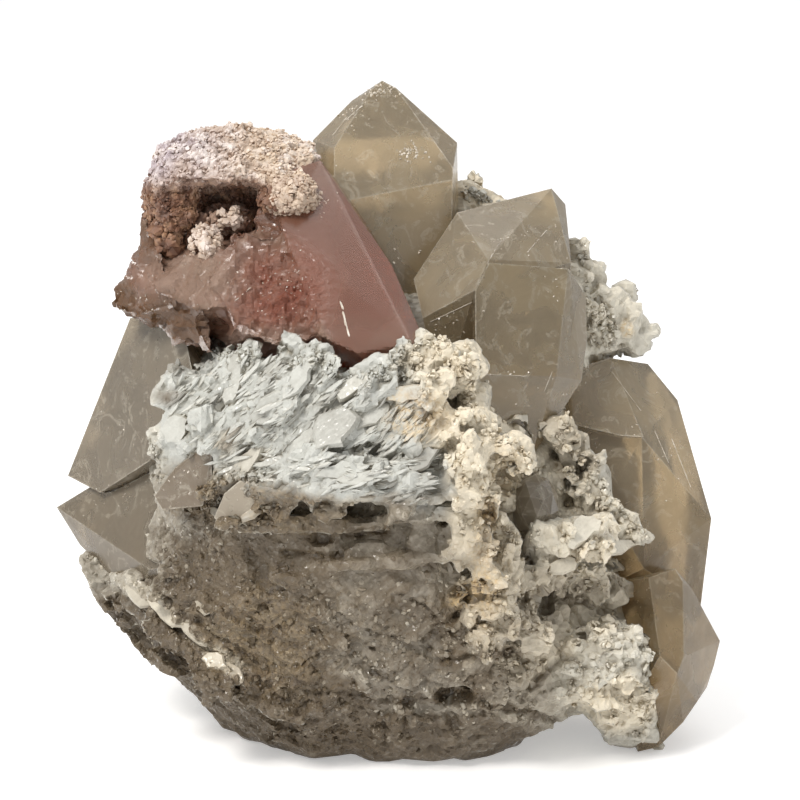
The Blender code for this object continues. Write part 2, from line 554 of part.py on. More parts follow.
def oval_corners(extra):
    """Corners of the oval grain made larger, for its socket."""
    spot, radii = Vector(OVAL_GRAIN["at"]), Vector(OVAL_GRAIN["radii"])
    shape = bmesh.new()
    bmesh.ops.create_icosphere(shape, subdivisions=2, radius=1.0)
    corners = [Vector([a * (b + extra) for a, b in zip(v.co, radii)]) + spot for v in shape.verts]
    shape.free()
    return corners


def swollen_copy(thing, gap):
    """A copy pushed out all round, to cut the seat of a rough piece."""
    shape = bmesh.new()
    shape.from_mesh(thing.data)
    shape.normal_update()
    for vert, away in [(v, v.normal.copy()) for v in shape.verts]:
        vert.co += away * gap
    return shape


def lepidolite_crust(crystals, look):
    crust = melted("lepidolite_crust", CRUST_MASSES, CRUST_GRID, CRUST_FACES, 1.5 * MM, 4 * MM)
    combine(crust, guide_collection("crust_seat", [grown(p) for p in crystals]), "DIFFERENCE")
    return finish(crust, look)


def albite_matrix(crystals, crust, look):
    dice = random.Random(20)
    rock = melted("albite_matrix", ROCK_MASSES, ROCK_GRID, ROCK_FACES, 3.0 * MM, 9 * MM)
    break_flat(rock, FRACTURES)
    growths = fan_blades(dice) + shelf_blades(dice) + back_blades(dice)
    growths += ridge_knobs(dice) + ledge_chunks(dice)
    combine(rock, guide_collection("rock_growths", growths), "UNION")
    facet(rock, ROCK_GROWN_FACES)
    hollows = [hull(p) for p in PITS + [ARCH, BELOW]]
    sockets = [grown(p) for p in crystals] + [hull(oval_corners(OVAL_GRAIN["clearance"]))]
    sockets.append(swollen_copy(crust, CRUST_GAP))
    combine(rock, guide_collection("rock_hollows", hollows), "DIFFERENCE")
    combine(rock, guide_collection("rock_sockets", sockets), "DIFFERENCE")
    return finish(rock, look)


def break_flat(thing, breaks):
    """Cut the rock back to flat breaks."""
    shape = bmesh.new()
    shape.from_mesh(thing.data)
    for spot, away in breaks:
        cut = bmesh.ops.bisect_plane(shape, geom=shape.verts[:] + shape.edges[:] + shape.faces[:],
                                     plane_co=Vector(spot) * MM, plane_no=away, clear_outer=True)
        rim = [e for e in cut["geom_cut"] if isinstance(e, bmesh.types.BMEdge)]
        bmesh.ops.holes_fill(shape, edges=rim)
    bmesh.ops.triangulate(shape, faces=shape.faces[:])
    shape.to_mesh(thing.data)
    shape.free()


def morganite(quartz_parts, look):
    made = add_object("morganite_crystal", hull(MORGANITE_PRISM))
    combine(made, guide_collection("morganite_layers", [hull(p) for p in MORGANITE_LAYERS]), "UNION")
    combine(made, guide_collection("morganite_seat", [grown(p) for p in quartz_parts]), "DIFFERENCE")
    return finish(made, look)


def centre_on_origin(things):
    """Put the middle of the specimen's footprint over the origin."""
    corners = [v.co for thing in things for v in thing.data.vertices]
    low = Vector([min(c[axis] for c in corners) for axis in range(3)])
    high = Vector([max(c[axis] for c in corners) for axis in range(3)])
    shift = Vector((-(low.x + high.x) / 2, -(low.y + high.y) / 2, -low.z))
    for thing in things:
        thing.data.transform(Matrix.Translation(shift))


def build():
    clear_scene()
    smoky = material("smoky_quartz", (0.48, 0.43, 0.35), 0.12, 0.55)
    pink = material("morganite", (0.72, 0.45, 0.40), 0.15, 0.55)
    mica = material("lepidolite", (0.55, 0.47, 0.44), 0.6)
    white = material("albite", (0.70, 0.70, 0.64), 0.65)

    centre = [TOP_QUARTZ, BROAD_QUARTZ_BACK, BROAD_QUARTZ_FRONT]
    right = [FLANK_QUARTZ, FLANK_PLATE, LOWER_QUARTZ]
    things = [
        joined_crystals("quartz_centre_group", centre, smoky),
        joined_crystals("quartz_right_group", right, smoky),
        joined_crystals("quartz_left_crystal", [LEFT_QUARTZ], smoky),
        joined_crystals("quartz_left_wedge", [LEFT_WEDGE], smoky, [LEFT_QUARTZ]),
        joined_crystals("quartz_small_left", [SMALL_LEFT], smoky),
        joined_crystals("quartz_small_right", [SMALL_RIGHT], smoky, [SMALL_LEFT]),
        joined_crystals("quartz_oval_grain", [oval_corners(0.0)], smoky),
        morganite(centre + [LEFT_QUARTZ], pink),
    ]
    pink_parts = [MORGANITE_PRISM] + MORGANITE_LAYERS
    crust = lepidolite_crust(centre + pink_parts, mica)
    singles = [LEFT_QUARTZ, LEFT_WEDGE, SMALL_LEFT, SMALL_RIGHT]
    rock = albite_matrix(centre + right + singles + pink_parts, crust, white)
    things += [crust, rock]
    centre_on_origin(things)


build()
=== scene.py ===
"""Looks of the morganite specimen: a pink beryl on bladed albite with smoky quartz.

Lengths are in metres. Places on the viewer's side are given as pixels of the 800 x 800
photograph and are carried onto the rock along the camera's line of sight.
"""
import math
import random

import bmesh
import bpy
from mathutils import Matrix, Vector, noise
from mathutils.bvhtree import BVHTree


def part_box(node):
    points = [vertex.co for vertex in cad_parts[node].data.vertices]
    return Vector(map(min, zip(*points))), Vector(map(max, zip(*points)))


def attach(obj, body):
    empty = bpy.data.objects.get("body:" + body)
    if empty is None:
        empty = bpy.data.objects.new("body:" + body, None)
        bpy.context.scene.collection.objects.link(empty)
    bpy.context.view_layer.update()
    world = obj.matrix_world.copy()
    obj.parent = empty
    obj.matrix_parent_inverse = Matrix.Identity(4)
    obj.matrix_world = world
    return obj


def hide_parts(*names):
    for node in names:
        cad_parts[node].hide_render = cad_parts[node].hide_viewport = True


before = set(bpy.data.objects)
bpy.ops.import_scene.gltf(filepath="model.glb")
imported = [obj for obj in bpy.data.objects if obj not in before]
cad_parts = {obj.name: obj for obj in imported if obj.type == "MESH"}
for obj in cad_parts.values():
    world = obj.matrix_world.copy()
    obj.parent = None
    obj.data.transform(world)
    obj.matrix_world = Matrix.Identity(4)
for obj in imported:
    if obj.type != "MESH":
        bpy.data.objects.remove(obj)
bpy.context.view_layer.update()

MM = 0.001
BODY = "root"

# The photograph's view.
VIEW_RISE = math.radians(12)
VIEW_DISTANCE = 0.400
VIEW_TARGET = Vector((0.0021, 0.0017, 0.0509))
PHOTO_SIZE = 800
PIXEL = 0.0001515              # metres that one pixel spans at the target
FORWARD = Vector((0, math.cos(VIEW_RISE), -math.sin(VIEW_RISE)))
UPWARD = Vector((0, math.sin(VIEW_RISE), math.cos(VIEW_RISE)))
EYE = VIEW_TARGET - FORWARD * VIEW_DISTANCE

# Sizes of the rock's skin.
ROCK_VOXEL = 0.52 * MM
ROCK_FACES = 190000
CRUST_VOXEL = 0.38 * MM
CRUST_SKIN_FACES = 60000
REACH = 0.75 * MM              # rock closer than this to a crystal grows into it
BITE = 0.95 * MM               # how far it grows

# Brown lumps in the hollow: ranges of pixels, depths and sizes in mm, and the crust's tint.
STAINED = [
    ((147, 200), (198, 265), (-9, -3), 70, (0.7, 1.5), (0.1, 0.0, 1.0, 0.1)),
    ((185, 275), (206, 240), (-10, -1), 90, (0.6, 1.3), (0.3, 0.2, 0.9, 0.4)),
    ((262, 320), (176, 220), (-15.5, -10.5), 300, (0.4, 0.9), (0.0, 1.0, 0.3, 0.35)),
    ((190, 224), (224, 268), (-15, -11), 60, (0.5, 1.0), (0.3, 0.6, 0.1, 0.55)),
    ((216, 240), (206, 230), (-13, -9), 16, (0.5, 1.0), (0.3, 0.6, 0.15, 0.5)),
]

# Flecks on the quartz: a pixel, spreads in pixels, how many and their size in mm. The first four lie on
# the morganite, white flecks that stand for its sparkle: painted glints.
FLECKS = [
    ((290, 285), (18, 22), 130, 0.34), ((322, 206), (7, 9), 34, 0.36), ((215, 270), (30, 22), 50, 0.34),
    ((150, 300), (16, 16), 40, 0.4),
    ((410, 152), (7, 5), 130, 0.7), ((378, 90), (14, 4), 150, 0.7), ((347, 112), (9, 9), 120, 0.6),
    ((410, 252), (16, 6), 16, 0.7), ((340, 175), (6, 10), 14, 0.5), ((497, 240), (12, 3), 26, 0.5),
    ((535, 240), (12, 10), 18, 0.5), ((556, 232), (5, 14), 22, 0.5), ((562, 285), (8, 16), 30, 0.5),
    ((450, 322), (14, 12), 36, 0.6), ((500, 374), (24, 3), 26, 0.5), ((545, 390), (18, 14), 40, 0.5),
    ((610, 425), (30, 3), 26, 0.5), ((672, 450), (14, 34), 50, 0.5), ((600, 450), (20, 14), 18, 0.5),
    ((640, 600), (8, 12), 26, 0.5), ((665, 660), (20, 16), 26, 0.4), ((110, 500), (26, 12), 30, 0.5),
    ((185, 475), (22, 16), 70, 0.6), ((240, 495), (20, 12), 50, 0.6), ((110, 430), (10, 30), 26, 0.5),
]

# Bright lines on the crystals: their ends as pixels and their width in mm. The first three, on the
# morganite's face, are a painted highlight.
STREAKS = [((341, 303), (343, 309), 0.42), ((343, 312), (349, 336), 0.30), ((344, 316), (346, 326), 0.4),
           ((550, 226), (526, 254), 0.09), ((501, 240), (487, 264), 0.09), ((476, 374), (525, 376), 0.08),
           ((346, 120), (362, 106), 0.16), ((334, 134), (346, 118), 0.14), ((430, 322), (470, 303), 0.09),
           ((544, 392), (552, 372), 0.08), ((235, 301), (250, 288), 0.12), ((655, 432), (668, 462), 0.08), ((672, 440), (690, 486), 0.08),
           ((612, 372), (640, 410), 0.08)]
QUARTZ_FADE = 45 * MM           # below this height the quartz is darker
GEM_VOXEL = 0.36 * MM
GEM_FACES = 90000
GEM_CREASE = math.radians(19)

# Light: brightness of the studio near the floor and overhead, how much of it is left on the
# viewer's side, and the lamps.
SKY_LOW = 0.60
SKY_HIGH = 0.95
SKY_FRONT = 0.66
LAMPS = [("key", (-0.34, -0.40, 0.66), 0.22, 5.25), ("top", (0.18, 0.05, 0.80), 0.4, 1.0)]
LAMP_TINT = (1.0, 0.962, 0.915)
FLOOR_SHADE = 0.84
FLOOR_GLOW = 0.35

PLAIN = (0.5, 0.5, 0.0, 0.0)

CRYSTALS = ["morganite_crystal", "quartz_centre_group", "quartz_left_crystal",
            "quartz_left_wedge", "quartz_oval_grain", "quartz_right_group",
            "quartz_small_left", "quartz_small_right"]

# Patches of the rock's colour: a pixel, radii in pixels, a turn in degrees and strengths.
# tone darkens towards grey-brown, warm goes from bluish to cream, stain is ochre,
# speck is dark brown speckle.
PATCHES = [
    # bladed fan, bluish white
    {"at": (300, 410), "radii": (130, 85), "turn": -30, "warm": -0.9, "tone": -0.5},
    {"at": (205, 400), "radii": (45, 45), "turn": 0, "warm": -0.6, "tone": -0.6},
    {"at": (375, 425), "radii": (50, 35), "turn": -35, "warm": -1.0, "tone": -0.5},
    {"at": (350, 478), "radii": (62, 18), "turn": 0, "warm": -0.9, "tone": -0.9},
    {"at": (415, 470), "radii": (38, 36), "turn": 0, "warm": -0.7, "tone": -0.1},
    {"at": (192, 360), "radii": (20, 24), "turn": 20, "warm": -0.2, "tone": 0.55},
    # darker in the recess: painted shade
    {"at": (172, 398), "radii": (16, 8), "turn": 0, "tone": 0.9, "warm": 0.4},
    {"at": (172, 430), "radii": (24, 20), "turn": 0, "tone": -0.4},
    {"at": (228, 440), "radii": (9, 14), "turn": 20, "tone": 0.7, "warm": 0.6},
    {"at": (256, 456), "radii": (12, 7), "turn": -20, "tone": 0.8, "warm": 0.8},
    {"at": (318, 420), "radii": (6, 26), "turn": 40, "tone": 0.35},
    {"at": (330, 396), "radii": (30, 5), "turn": -35, "tone": 0.4},
    {"at": (270, 375), "radii": (34, 5), "turn": -48, "tone": 0.4},
    {"at": (345, 425), "radii": (26, 17), "turn": -42, "tone": 0.25},
    {"at": (235, 455), "radii": (50, 26), "turn": -35, "warm": 0.5, "tone": 0.1},
    # cream crust of the spine
    {"at": (440, 370), "radii": (50, 42), "turn": 0, "warm": 0.9, "tone": -0.55},
    {"at": (480, 445), "radii": (60, 40), "turn": 30, "warm": 0.9, "tone": -0.6},
    {"at": (485, 540), "radii": (35, 90), "turn": 0, "warm": 1.0, "tone": -0.3},
    {"at": (520, 620), "radii": (55, 50), "turn": 0, "warm": 0.8, "tone": -0.3},
    {"at": (585, 530), "radii": (55, 36), "turn": 0, "warm": 0.4, "tone": -1.3},
    {"at": (570, 440), "radii": (30, 60), "turn": 0, "warm": 0.6, "tone": 0.1},
    {"at": (605, 290), "radii": (50, 80), "turn": 0, "warm": 0.2, "tone": -1.2},
    {"at": (480, 190), "radii": (30, 20), "turn": 0, "warm": 0.9, "tone": -0.9},
    {"at": (610, 660), "radii": (50, 45), "turn": -30, "warm": 0.0, "tone": -0.8},
    {"at": (620, 705), "radii": (40, 25), "turn": 0, "warm": 0.9, "tone": -0.4},
    {"at": (600, 590), "radii": (40, 35), "turn": 0, "warm": 0.6, "tone": 0.0},
    # ochre and brown stains
    {"at": (418, 415), "radii": (28, 26), "turn": 0, "stain": 0.8, "tone": -0.4},
    {"at": (487, 570), "radii": (18, 60), "turn": 0, "stain": 0.55},
    {"at": (472, 592), "radii": (26, 12), "turn": -20, "stain": 1.0, "tone": 0.3},
    {"at": (505, 470), "radii": (18, 20), "turn": 0, "stain": 0.5, "warm": 1.0},
    {"at": (488, 512), "radii": (12, 14), "turn": 0, "stain": 0.5, "tone": 0.5},
    {"at": (627, 328), "radii": (9, 9), "turn": 0, "stain": 1.0},
    {"at": (240, 500), "radii": (90, 26), "turn": 10, "stain": 0.25, "tone": 0.5},
    # lower rock, grey-brown and speckled
    {"at": (330, 620), "radii": (230, 130), "turn": 0, "warm": 0.3, "tone": 0.49},
    {"at": (230, 600), "radii": (90, 110), "turn": 0, "speck": 0.8, "tone": 0.15},
    {"at": (260, 640), "radii": (60, 50), "turn": 0, "speck": 1.0, "stain": 0.25},
    {"at": (300, 715), "radii": (60, 40), "turn": 0, "speck": 0.8, "tone": 0.6},
    {"at": (150, 660), "radii": (90, 40), "turn": 45, "tone": 0.45, "speck": 0.3},
    # darker along the bottom: painted shade under the overhang
    {"at": (340, 748), "radii": (210, 30), "turn": 0, "tone": 0.9, "warm": 0.3},
    {"at": (515, 700), "radii": (60, 36), "turn": 0, "tone": 0.15, "warm": 0.3},
    # darker over the pit at the foot: painted shade in the hollow
    {"at": (345, 732), "radii": (42, 24), "turn": 0, "tone": 1.3, "speck": 0.8},
    {"at": (147, 598), "radii": (34, 13), "turn": 40, "tone": -0.35, "warm": 0.2},
    {"at": (185, 630), "radii": (30, 9), "turn": 42, "tone": -0.3, "warm": 0.2},
    {"at": (225, 660), "radii": (22, 10), "turn": 30, "tone": -0.9, "warm": 0.1},
    # darker over three pits, this and the next two patches: painted shade in the hollows
    {"at": (360, 510), "radii": (24, 9), "turn": 0, "tone": 0.15, "warm": 0.5},
    {"at": (322, 538), "radii": (12, 6), "turn": 0, "tone": 0.7},
    {"at": (455, 697), "radii": (20, 7), "turn": 0, "tone": 1.2},
    {"at": (440, 640), "radii": (80, 60), "turn": 0, "warm": -0.1, "tone": 0.05},
]

# Pits in the front: a pixel, radii in pixels and a depth in mm.
PITS = [((455, 697), (17, 8), 2.4), ((364, 509), (22, 6), 0.8), ((322, 539), (11, 5), 1.2),
        ((505, 478), (12, 16), 2.0), ((488, 512), (8, 13), 1.8), ((585, 590), (26, 14), 0.5),
        ((470, 592), (18, 8), 1.4), ((365, 449), (14, 6), 1.2), ((248, 452), (9, 7), 1.4),
        ((575, 470), (10, 26), 1.5), ((545, 600), (8, 14), 1.5), ((350, 735), (20, 10), 0.8)]

# Large smooth lumps left of the fan: a pixel and a radius in mm.
KNOBS = [((170, 432), 3.3), ((202, 420), 2.5), ((192, 360), 3.0), ((160, 402), 1.7), ((186, 446), 2.0),
         ((208, 330), 1.3), ((440, 352), 2.4), ((470, 372), 1.8), ((592, 262), 2.2), ((606, 300), 2.4)]

# Cracks of the front, as lines of pixels.
CRACKS = [[(345, 534), (368, 531), (392, 530)], [(284, 553), (312, 555), (340, 556)],
          [(430, 636), (455, 618), (468, 596)], [(531, 689), (545, 674), (559, 661)],
          [(446, 662), (480, 656), (512, 650)], [(305, 693), (345, 694), (378, 702), (422, 698)],
          [(384, 720), (383, 750)], [(112, 600), (150, 642), (190, 676)],
          [(215, 640), (262, 668), (300, 712)], [(480, 705), (530, 712), (556, 722)]]

# Large plates of the fan and the right field: their ends as pixels, width and thickness
# in mm, tone and warmth.
PLATES = [
    ((314, 448), (358, 404), 5.6, 0.8, 0.22, 0.12), ((286, 462), (322, 428), 4.0, 0.8, 0.16, 0.15),
    ((268, 440), (300, 398), 3.2, 0.7, 0.22, 0.1), ((240, 440), (282, 392), 3.6, 0.8, 0.12, 0.1),
    ((225, 412), (240, 350), 3.6, 0.8, 0.18, 0.15), ((208, 405), (222, 350), 3.0, 0.8, 0.24, 0.2),
    ((206, 345), (214, 322), 1.9, 0.9, 0.15, 0.4), ((248, 405), (276, 362), 2.6, 0.7, 0.2, 0.1),
    ((282, 400), (312, 358), 3.0, 0.7, 0.1, 0.1), ((304, 392), (322, 354), 2.4, 0.7, 0.15, 0.2),
    ((330, 400), (372, 372), 3.2, 0.8, 0.1, 0.4), ((360, 402), (405, 380), 3.2, 0.8, 0.12, 0.5),
    ((384, 398), (432, 388), 3.0, 0.9, 0.1, 0.7), ((352, 428), (392, 402), 2.8, 0.7, 0.2, 0.2),
    ((316, 474), (372, 468), 3.4, 1.0, 0.0, 0.1), ((334, 482), (380, 474), 2.2, 0.8, 0.02, 0.25),
    ((376, 486), (412, 460), 3.2, 0.7, 0.34, 0.0), ((396, 494), (434, 474), 3.0, 0.7, 0.28, 0.05),
    ((410, 470), (438, 446), 2.8, 0.7, 0.3, 0.05), ((384, 503), (430, 500), 1.8, 0.8, 0.1, 0.1),
    ((164, 440), (186, 414), 4.4, 2.2, 0.06, 0.2), ((190, 428), (214, 414), 3.2, 2.0, 0.05, 0.15),
    ((178, 380), (200, 340), 4.2, 2.2, 0.42, 0.3), ((228, 480), (262, 446), 3.0, 0.9, 0.2, 0.5),
    ((566, 544), (600, 516), 4.2, 1.4, 0.05, 0.2), ((584, 548), (636, 528), 2.6, 0.9, 0.2, 0.2),
    ((590, 556), (634, 542), 2.4, 0.9, 0.25, 0.2), ((546, 570), (580, 560), 2.6, 1.0, 0.2, 0.4),
    ((122, 578), (162, 608), 4.0, 0.5, 0.14, 0.45), ((148, 598), (188, 628), 3.0, 0.5, 0.1, 0.4),
    ((180, 620), (208, 645), 2.2, 0.5, 0.16, 0.4), ((201, 654), (228, 668), 2.8, 0.5, 0.1, 0.55),
    ((216, 662), (246, 682), 2.8, 0.5, 0.16, 0.6), ((196, 602), (212, 612), 2.2, 0.5, 0.3, 0.5),
    ((150, 470), (166, 506), 1.5, 0.7, 0.2, 0.7), ((166, 508), (204, 517), 1.6, 0.8, 0.2, 0.6),
    ((208, 508), (232, 520), 1.6, 0.8, 0.2, 0.6), ((238, 519), (268, 505), 1.4, 0.8, 0.2, 0.6),
    ((214, 476), (205, 500), 1.4, 0.8, 0.15, 0.6), ((262, 470), (270, 500), 1.2, 0.7, 0.2, 0.6),
    ((530, 640), (556, 628), 2.4, 1.0, 0.1, 0.9), ((572, 470), (560, 432), 3.0, 1.2, 0.2, 0.4),
    ((598, 508), (588, 470), 3.0, 1.2, 0.2, 0.5), ((585, 690), (628, 640), 5.0, 1.0, 0.1, 0.2),
]

# Where the small blades and lumps grow: pixel outlines.
FAN = [(200, 346), (235, 360), (262, 356), (300, 371), (318, 357), (335, 375), (362, 382),
       (385, 388), (430, 400), (440, 440),
       (440, 500), (400, 505), (330, 492), (270, 480), (225, 480), (190, 430), (170, 440),
       (150, 430), (160, 390)]
SPINE = [(400, 340), (450, 340), (468, 372), (470, 410), (505, 445), (528, 458), (545, 490),
         (520, 540), (545, 600), (560, 655), (520, 680), (470, 650), (455, 600), (462, 540),
         (450, 480), (440, 440), (400, 400)]
RIGHT_FIELD = [(520, 470), (560, 470), (575, 430), (560, 410), (600, 450), (610, 500),
               (640, 530), (640, 570), (610, 600), (570, 600), (540, 560), (520, 520)]
SHOULDER = [(570, 240), (585, 245), (597, 290), (620, 335), (612, 350), (590, 345), (586, 300)]
PEAK = [(460, 184), (478, 190), (500, 201), (460, 208)]
LEFT_EDGE = [(79, 562), (92, 588), (109, 612), (131, 636), (156, 664)]
SMOOTH_ROCK = ((365, 555), (95, 48))
LOW_RIGHT = [(560, 640), (620, 610), (648, 650), (645, 715), (600, 725), (555, 700)]
LOWER_ROCK = [(80, 545), (200, 520), (300, 500), (440, 510), (455, 600), (520, 690), (555, 720),
              (480, 735), (300, 748), (240, 730), (150, 640)]
RIMS = [[(205, 345), (235, 358), (262, 352), (300, 368), (318, 352), (335, 372), (362, 378),
         (385, 372), (402, 350), (430, 338), (455, 345), (468, 372), (472, 405), (500, 440),
         (528, 460), (545, 490)],
        [(572, 400), (560, 440), (588, 470), (610, 500), (640, 535)],
        [(640, 600), (650, 640), (652, 690), (640, 740)],
        [(150, 445), (165, 500), (212, 508), (215, 480), (262, 470), (240, 515), (270, 512)]]
SHELF = [(310, 458), (415, 462), (412, 486), (330, 488)]
LEFT_SLOPE = [(85, 560), (120, 560), (215, 640), (290, 720), (300, 748), (262, 745), (190, 690)]
# Slabs that level hollows of the front: a pixel, y, length, width and thickness in mm.
FILLS = [((430, 539), -28.6, 9.0, 6.5, 3.0), ((366, 549), -28.8, 9.0, 3.4, 2.6)]
LEFT_KNOBS = [(165, 330), (205, 325), (215, 350), (200, 375), (165, 370), (150, 385)]


def photo_point(spot):
    """The pixel of the photograph that a point falls on."""
    away = spot - EYE
    depth = away.dot(FORWARD)
    scale = VIEW_DISTANCE / (depth * PIXEL)
    return (PHOTO_SIZE / 2 + away.x * scale, PHOTO_SIZE / 2 - away.dot(UPWARD) * scale)


def sight(u, v):
    """The line of sight through a pixel."""
    right = (u - PHOTO_SIZE / 2) * PIXEL
    up = (PHOTO_SIZE / 2 - v) * PIXEL
    return (FORWARD * VIEW_DISTANCE + Vector((right, 0, 0)) + UPWARD * up).normalized()


def inside(outline, u, v):
    crossed = False
    last_u, last_v = outline[-1]
    for here_u, here_v in outline:
        if (here_v > v) != (last_v > v):
            if u < (last_u - here_u) * (v - here_v) / (last_v - here_v) + here_u:
                crossed = not crossed
        last_u, last_v = here_u, here_v
    return crossed


def smooth(value):
    value = max(0.0, min(1.0, value))
    return value * value * (3 - 2 * value)


# Meshes

def new_object(name, mesh):
    made = bpy.data.objects.new(name, mesh)
    bpy.context.scene.collection.objects.link(made)
    return made


def welded_copy(node, name):
    """A copy of a CAD node's mesh with its corners joined up."""
    shape = bmesh.new()
    shape.from_mesh(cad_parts[node].data)
    bmesh.ops.remove_doubles(shape, verts=shape.verts[:], dist=0.001 * MM)
    mesh = bpy.data.meshes.new(name)
    shape.to_mesh(mesh)
    shape.free()
    return new_object(name, mesh)


def apply_modifiers(thing):
    graph = bpy.context.evaluated_depsgraph_get()
    shown = bpy.data.meshes.new_from_object(thing.evaluated_get(graph))
    thing.modifiers.clear()
    thing.data = shown


def remesh(thing, voxel):
    step = thing.modifiers.new("skin", "REMESH")
    step.mode = "VOXEL"
    step.voxel_size = voxel
    apply_modifiers(thing)


def thin_out(thing, faces):
    thing.data.calc_loop_triangles()
    now = len(thing.data.loop_triangles)
    if now > faces:
        step = thing.modifiers.new("thin", "DECIMATE")
        step.ratio = faces / now
        step.use_collapse_triangulate = True
        apply_modifiers(thing)


def tree_of(thing):
    mesh = thing.data
    mesh.calc_loop_triangles()
    corners = [v.co.copy() for v in mesh.vertices]
    return BVHTree.FromPolygons(corners, [tuple(t.vertices) for t in mesh.loop_triangles])


def points_and_normals(mesh):
    return [(v.co.copy(), v.normal.copy()) for v in mesh.vertices]


def put_points(mesh, points):
    mesh.vertices.foreach_set("co", [x for point in points for x in point])
    mesh.update()


class Heap:
    """Many small closed solids gathered into one mesh, each with a tint."""

    def __init__(self):
        self.corners = []
        self.faces = []
        self.tints = []

    def add(self, corners, faces, tint):
        start = len(self.corners)
        self.corners += corners
        self.faces += [tuple(start + i for i in face) for face in faces]
        self.tints += [tint] * len(corners)

    def plate(self, base, run, out, size, tint, dice, outline=None):
        """A flat crystal plate: size is its length, width and thickness."""
        run = run.normalized()
        out = (out - out.dot(run) * run).normalized()
        side = run.cross(out)
        length, width, thick = size
        outline = outline or [(math.cos(a) * dice.uniform(0.42, 0.55),
                               math.sin(a) * dice.uniform(0.40, 0.56))
                              for a in [math.tau * k / 6 + dice.uniform(-0.2, 0.2) for k in range(6)]]
        curl = dice.uniform(-0.12, 0.22)
        top = []
        bottom = []
        for x, y in outline:
            flat = base + run * x * length + side * y * width + out * curl * x * x * length
            core = base + run * x * length * 0.86 + side * y * width * 0.84
            top.append(core + out * (curl * x * x * length + thick * 0.5))
            bottom.append(flat - out * thick * 0.5)
        count = len(outline)
        faces = [tuple(range(count)), tuple(range(2 * count - 1, count - 1, -1))]
        for k in range(count):
            after = (k + 1) % count
            faces.append((k, k + count, after + count, after))
        self.add(top + bottom, faces, tint)

    def lump(self, base, radii, tint, dice, rough=0.25):
        """A small uneven grain."""
        turn = Matrix.Rotation(dice.uniform(0, math.tau), 3, "Z")
        turn = turn @ Matrix.Rotation(dice.uniform(0, math.tau), 3, "X")
        corners = []
        for direction in ICO_CORNERS:
            grow = 1 + dice.uniform(-rough, rough)
            spot = Vector([a * r for a, r in zip(turn @ direction, radii)]) * grow
            corners.append(base + spot)
        self.add(corners, ICO_FACES, tint)

    def build(self, name):
        mesh = bpy.data.meshes.new(name)
        mesh.from_pydata(self.corners, [], self.faces)
        field = mesh.color_attributes.new("tint", "FLOAT_COLOR", "POINT")
        field.data.foreach_set("color", [x for tint in self.tints for x in tint])
        shape = bmesh.new()
        shape.from_mesh(mesh)
        bmesh.ops.triangulate(shape, faces=shape.faces[:])
        bmesh.ops.recalc_face_normals(shape, faces=shape.faces[:])
        shape.to_mesh(mesh)
        shape.free()
        return new_object(name, mesh)


def ico_parts():
    shape = bmesh.new()
    bmesh.ops.create_icosphere(shape, subdivisions=1, radius=1.0)
    corners = [v.co.copy() for v in shape.verts]
    faces = [tuple(v.index for v in f.verts) for f in shape.faces]
    shape.free()
    return corners, faces


ICO_CORNERS, ICO_FACES = ico_parts()


# The rock

def fan_amount(u, v):
    return smooth(1.4 - math.hypot((u - 300) / 150, (v - 415) / 90))


def rock_height(spot, pull):
    """How far the rock's skin stands out at a point, in metres."""
    p = spot / MM
    blocky = noise.voronoi(p * 0.26, distance_metric="DISTANCE")
    cell = noise.cell_vector(blocky[1][0] * 7.3)
    lean = (p * 0.26 - blocky[1][0]).dot(cell * 2 - Vector((1, 1, 1)))
    blocks = (cell.x - 0.5) * 1.1 + lean * 1.1
    along_blades = Vector((0.74, -0.10, 0.66))
    q = p - along_blades * p.dot(along_blades) * 0.78
    bladed = noise.voronoi(q * 0.62, distance_metric="DISTANCE")
    chip = noise.cell_vector(bladed[1][0] * 5.1)
    slant = (q * 0.62 - bladed[1][0]).dot(chip * 2 - Vector((1, 1, 1)))
    blades = (chip.x - 0.5) * 0.7 + slant * 0.75
    grain = noise.fractal(p * 1.3, 0.8, 2.1, 3)
    broad = noise.noise(p * 0.12)
    low = smooth((44 - p.z) / 16) * (1 - pull)
    slope = Vector((0.60, -0.30, -0.72))
    q = p - slope * p.dot(slope) * 0.72
    steps = noise.voronoi(q * 0.42, distance_metric="DISTANCE")
    step = noise.cell_vector(steps[1][0] * 9.1)
    terrace = (step.x - 0.5) * 1.5 + (q * 0.42 - steps[1][0]).dot(step * 2 - Vector((1, 1, 1)))
    sugar = abs(noise.noise(p * 0.9)) * 0.5
    back = smooth((p.y - 4) / 16)
    coarse = noise.voronoi(p * 0.13 + Vector((2, 5, 1)), distance_metric="DISTANCE")
    block = noise.cell_vector(coarse[1][0] * 6.1)
    offset = p * 0.13 + Vector((2, 5, 1)) - coarse[1][0]
    shelves = (block.x - 0.5) * 2.6 + offset.dot(block * 2 - Vector((1, 1, 1))) * 2.4
    return (blocks * (0.3 + 0.3 * broad) + blades * (0.3 + 0.4 * pull) + grain * 0.24
            + low * (terrace * 0.5 - sugar) + back * (shelves - 0.3)) * MM


def crack_share(u, v):
    """1 on a crack's line and 0 away from it."""
    nearest = 99.0
    for line in CRACKS:
        for (u0, v0), (u1, v1) in zip(line, line[1:]):
            along = ((u - u0) * (u1 - u0) + (v - v0) * (v1 - v0)) / ((u1 - u0) ** 2 + (v1 - v0) ** 2)
            along = max(0.0, min(1.0, along))
            away = math.hypot(u - u0 - along * (u1 - u0), v - v0 - along * (v1 - v0))
            nearest = min(nearest, away)
    return smooth(1.4 - nearest / 3.2)


def pit_depth(u, v):
    """How deep the pits of the front are at a pixel, in metres."""
    deepest = 0.0
    for (at_u, at_v), (wide, high), depth in PITS:
        away = (abs(u - at_u) / wide) ** 3 + (abs(v - at_v) / high) ** 3
        deepest = max(deepest, depth * smooth(2.6 - 1.8 * away))
    return deepest * MM


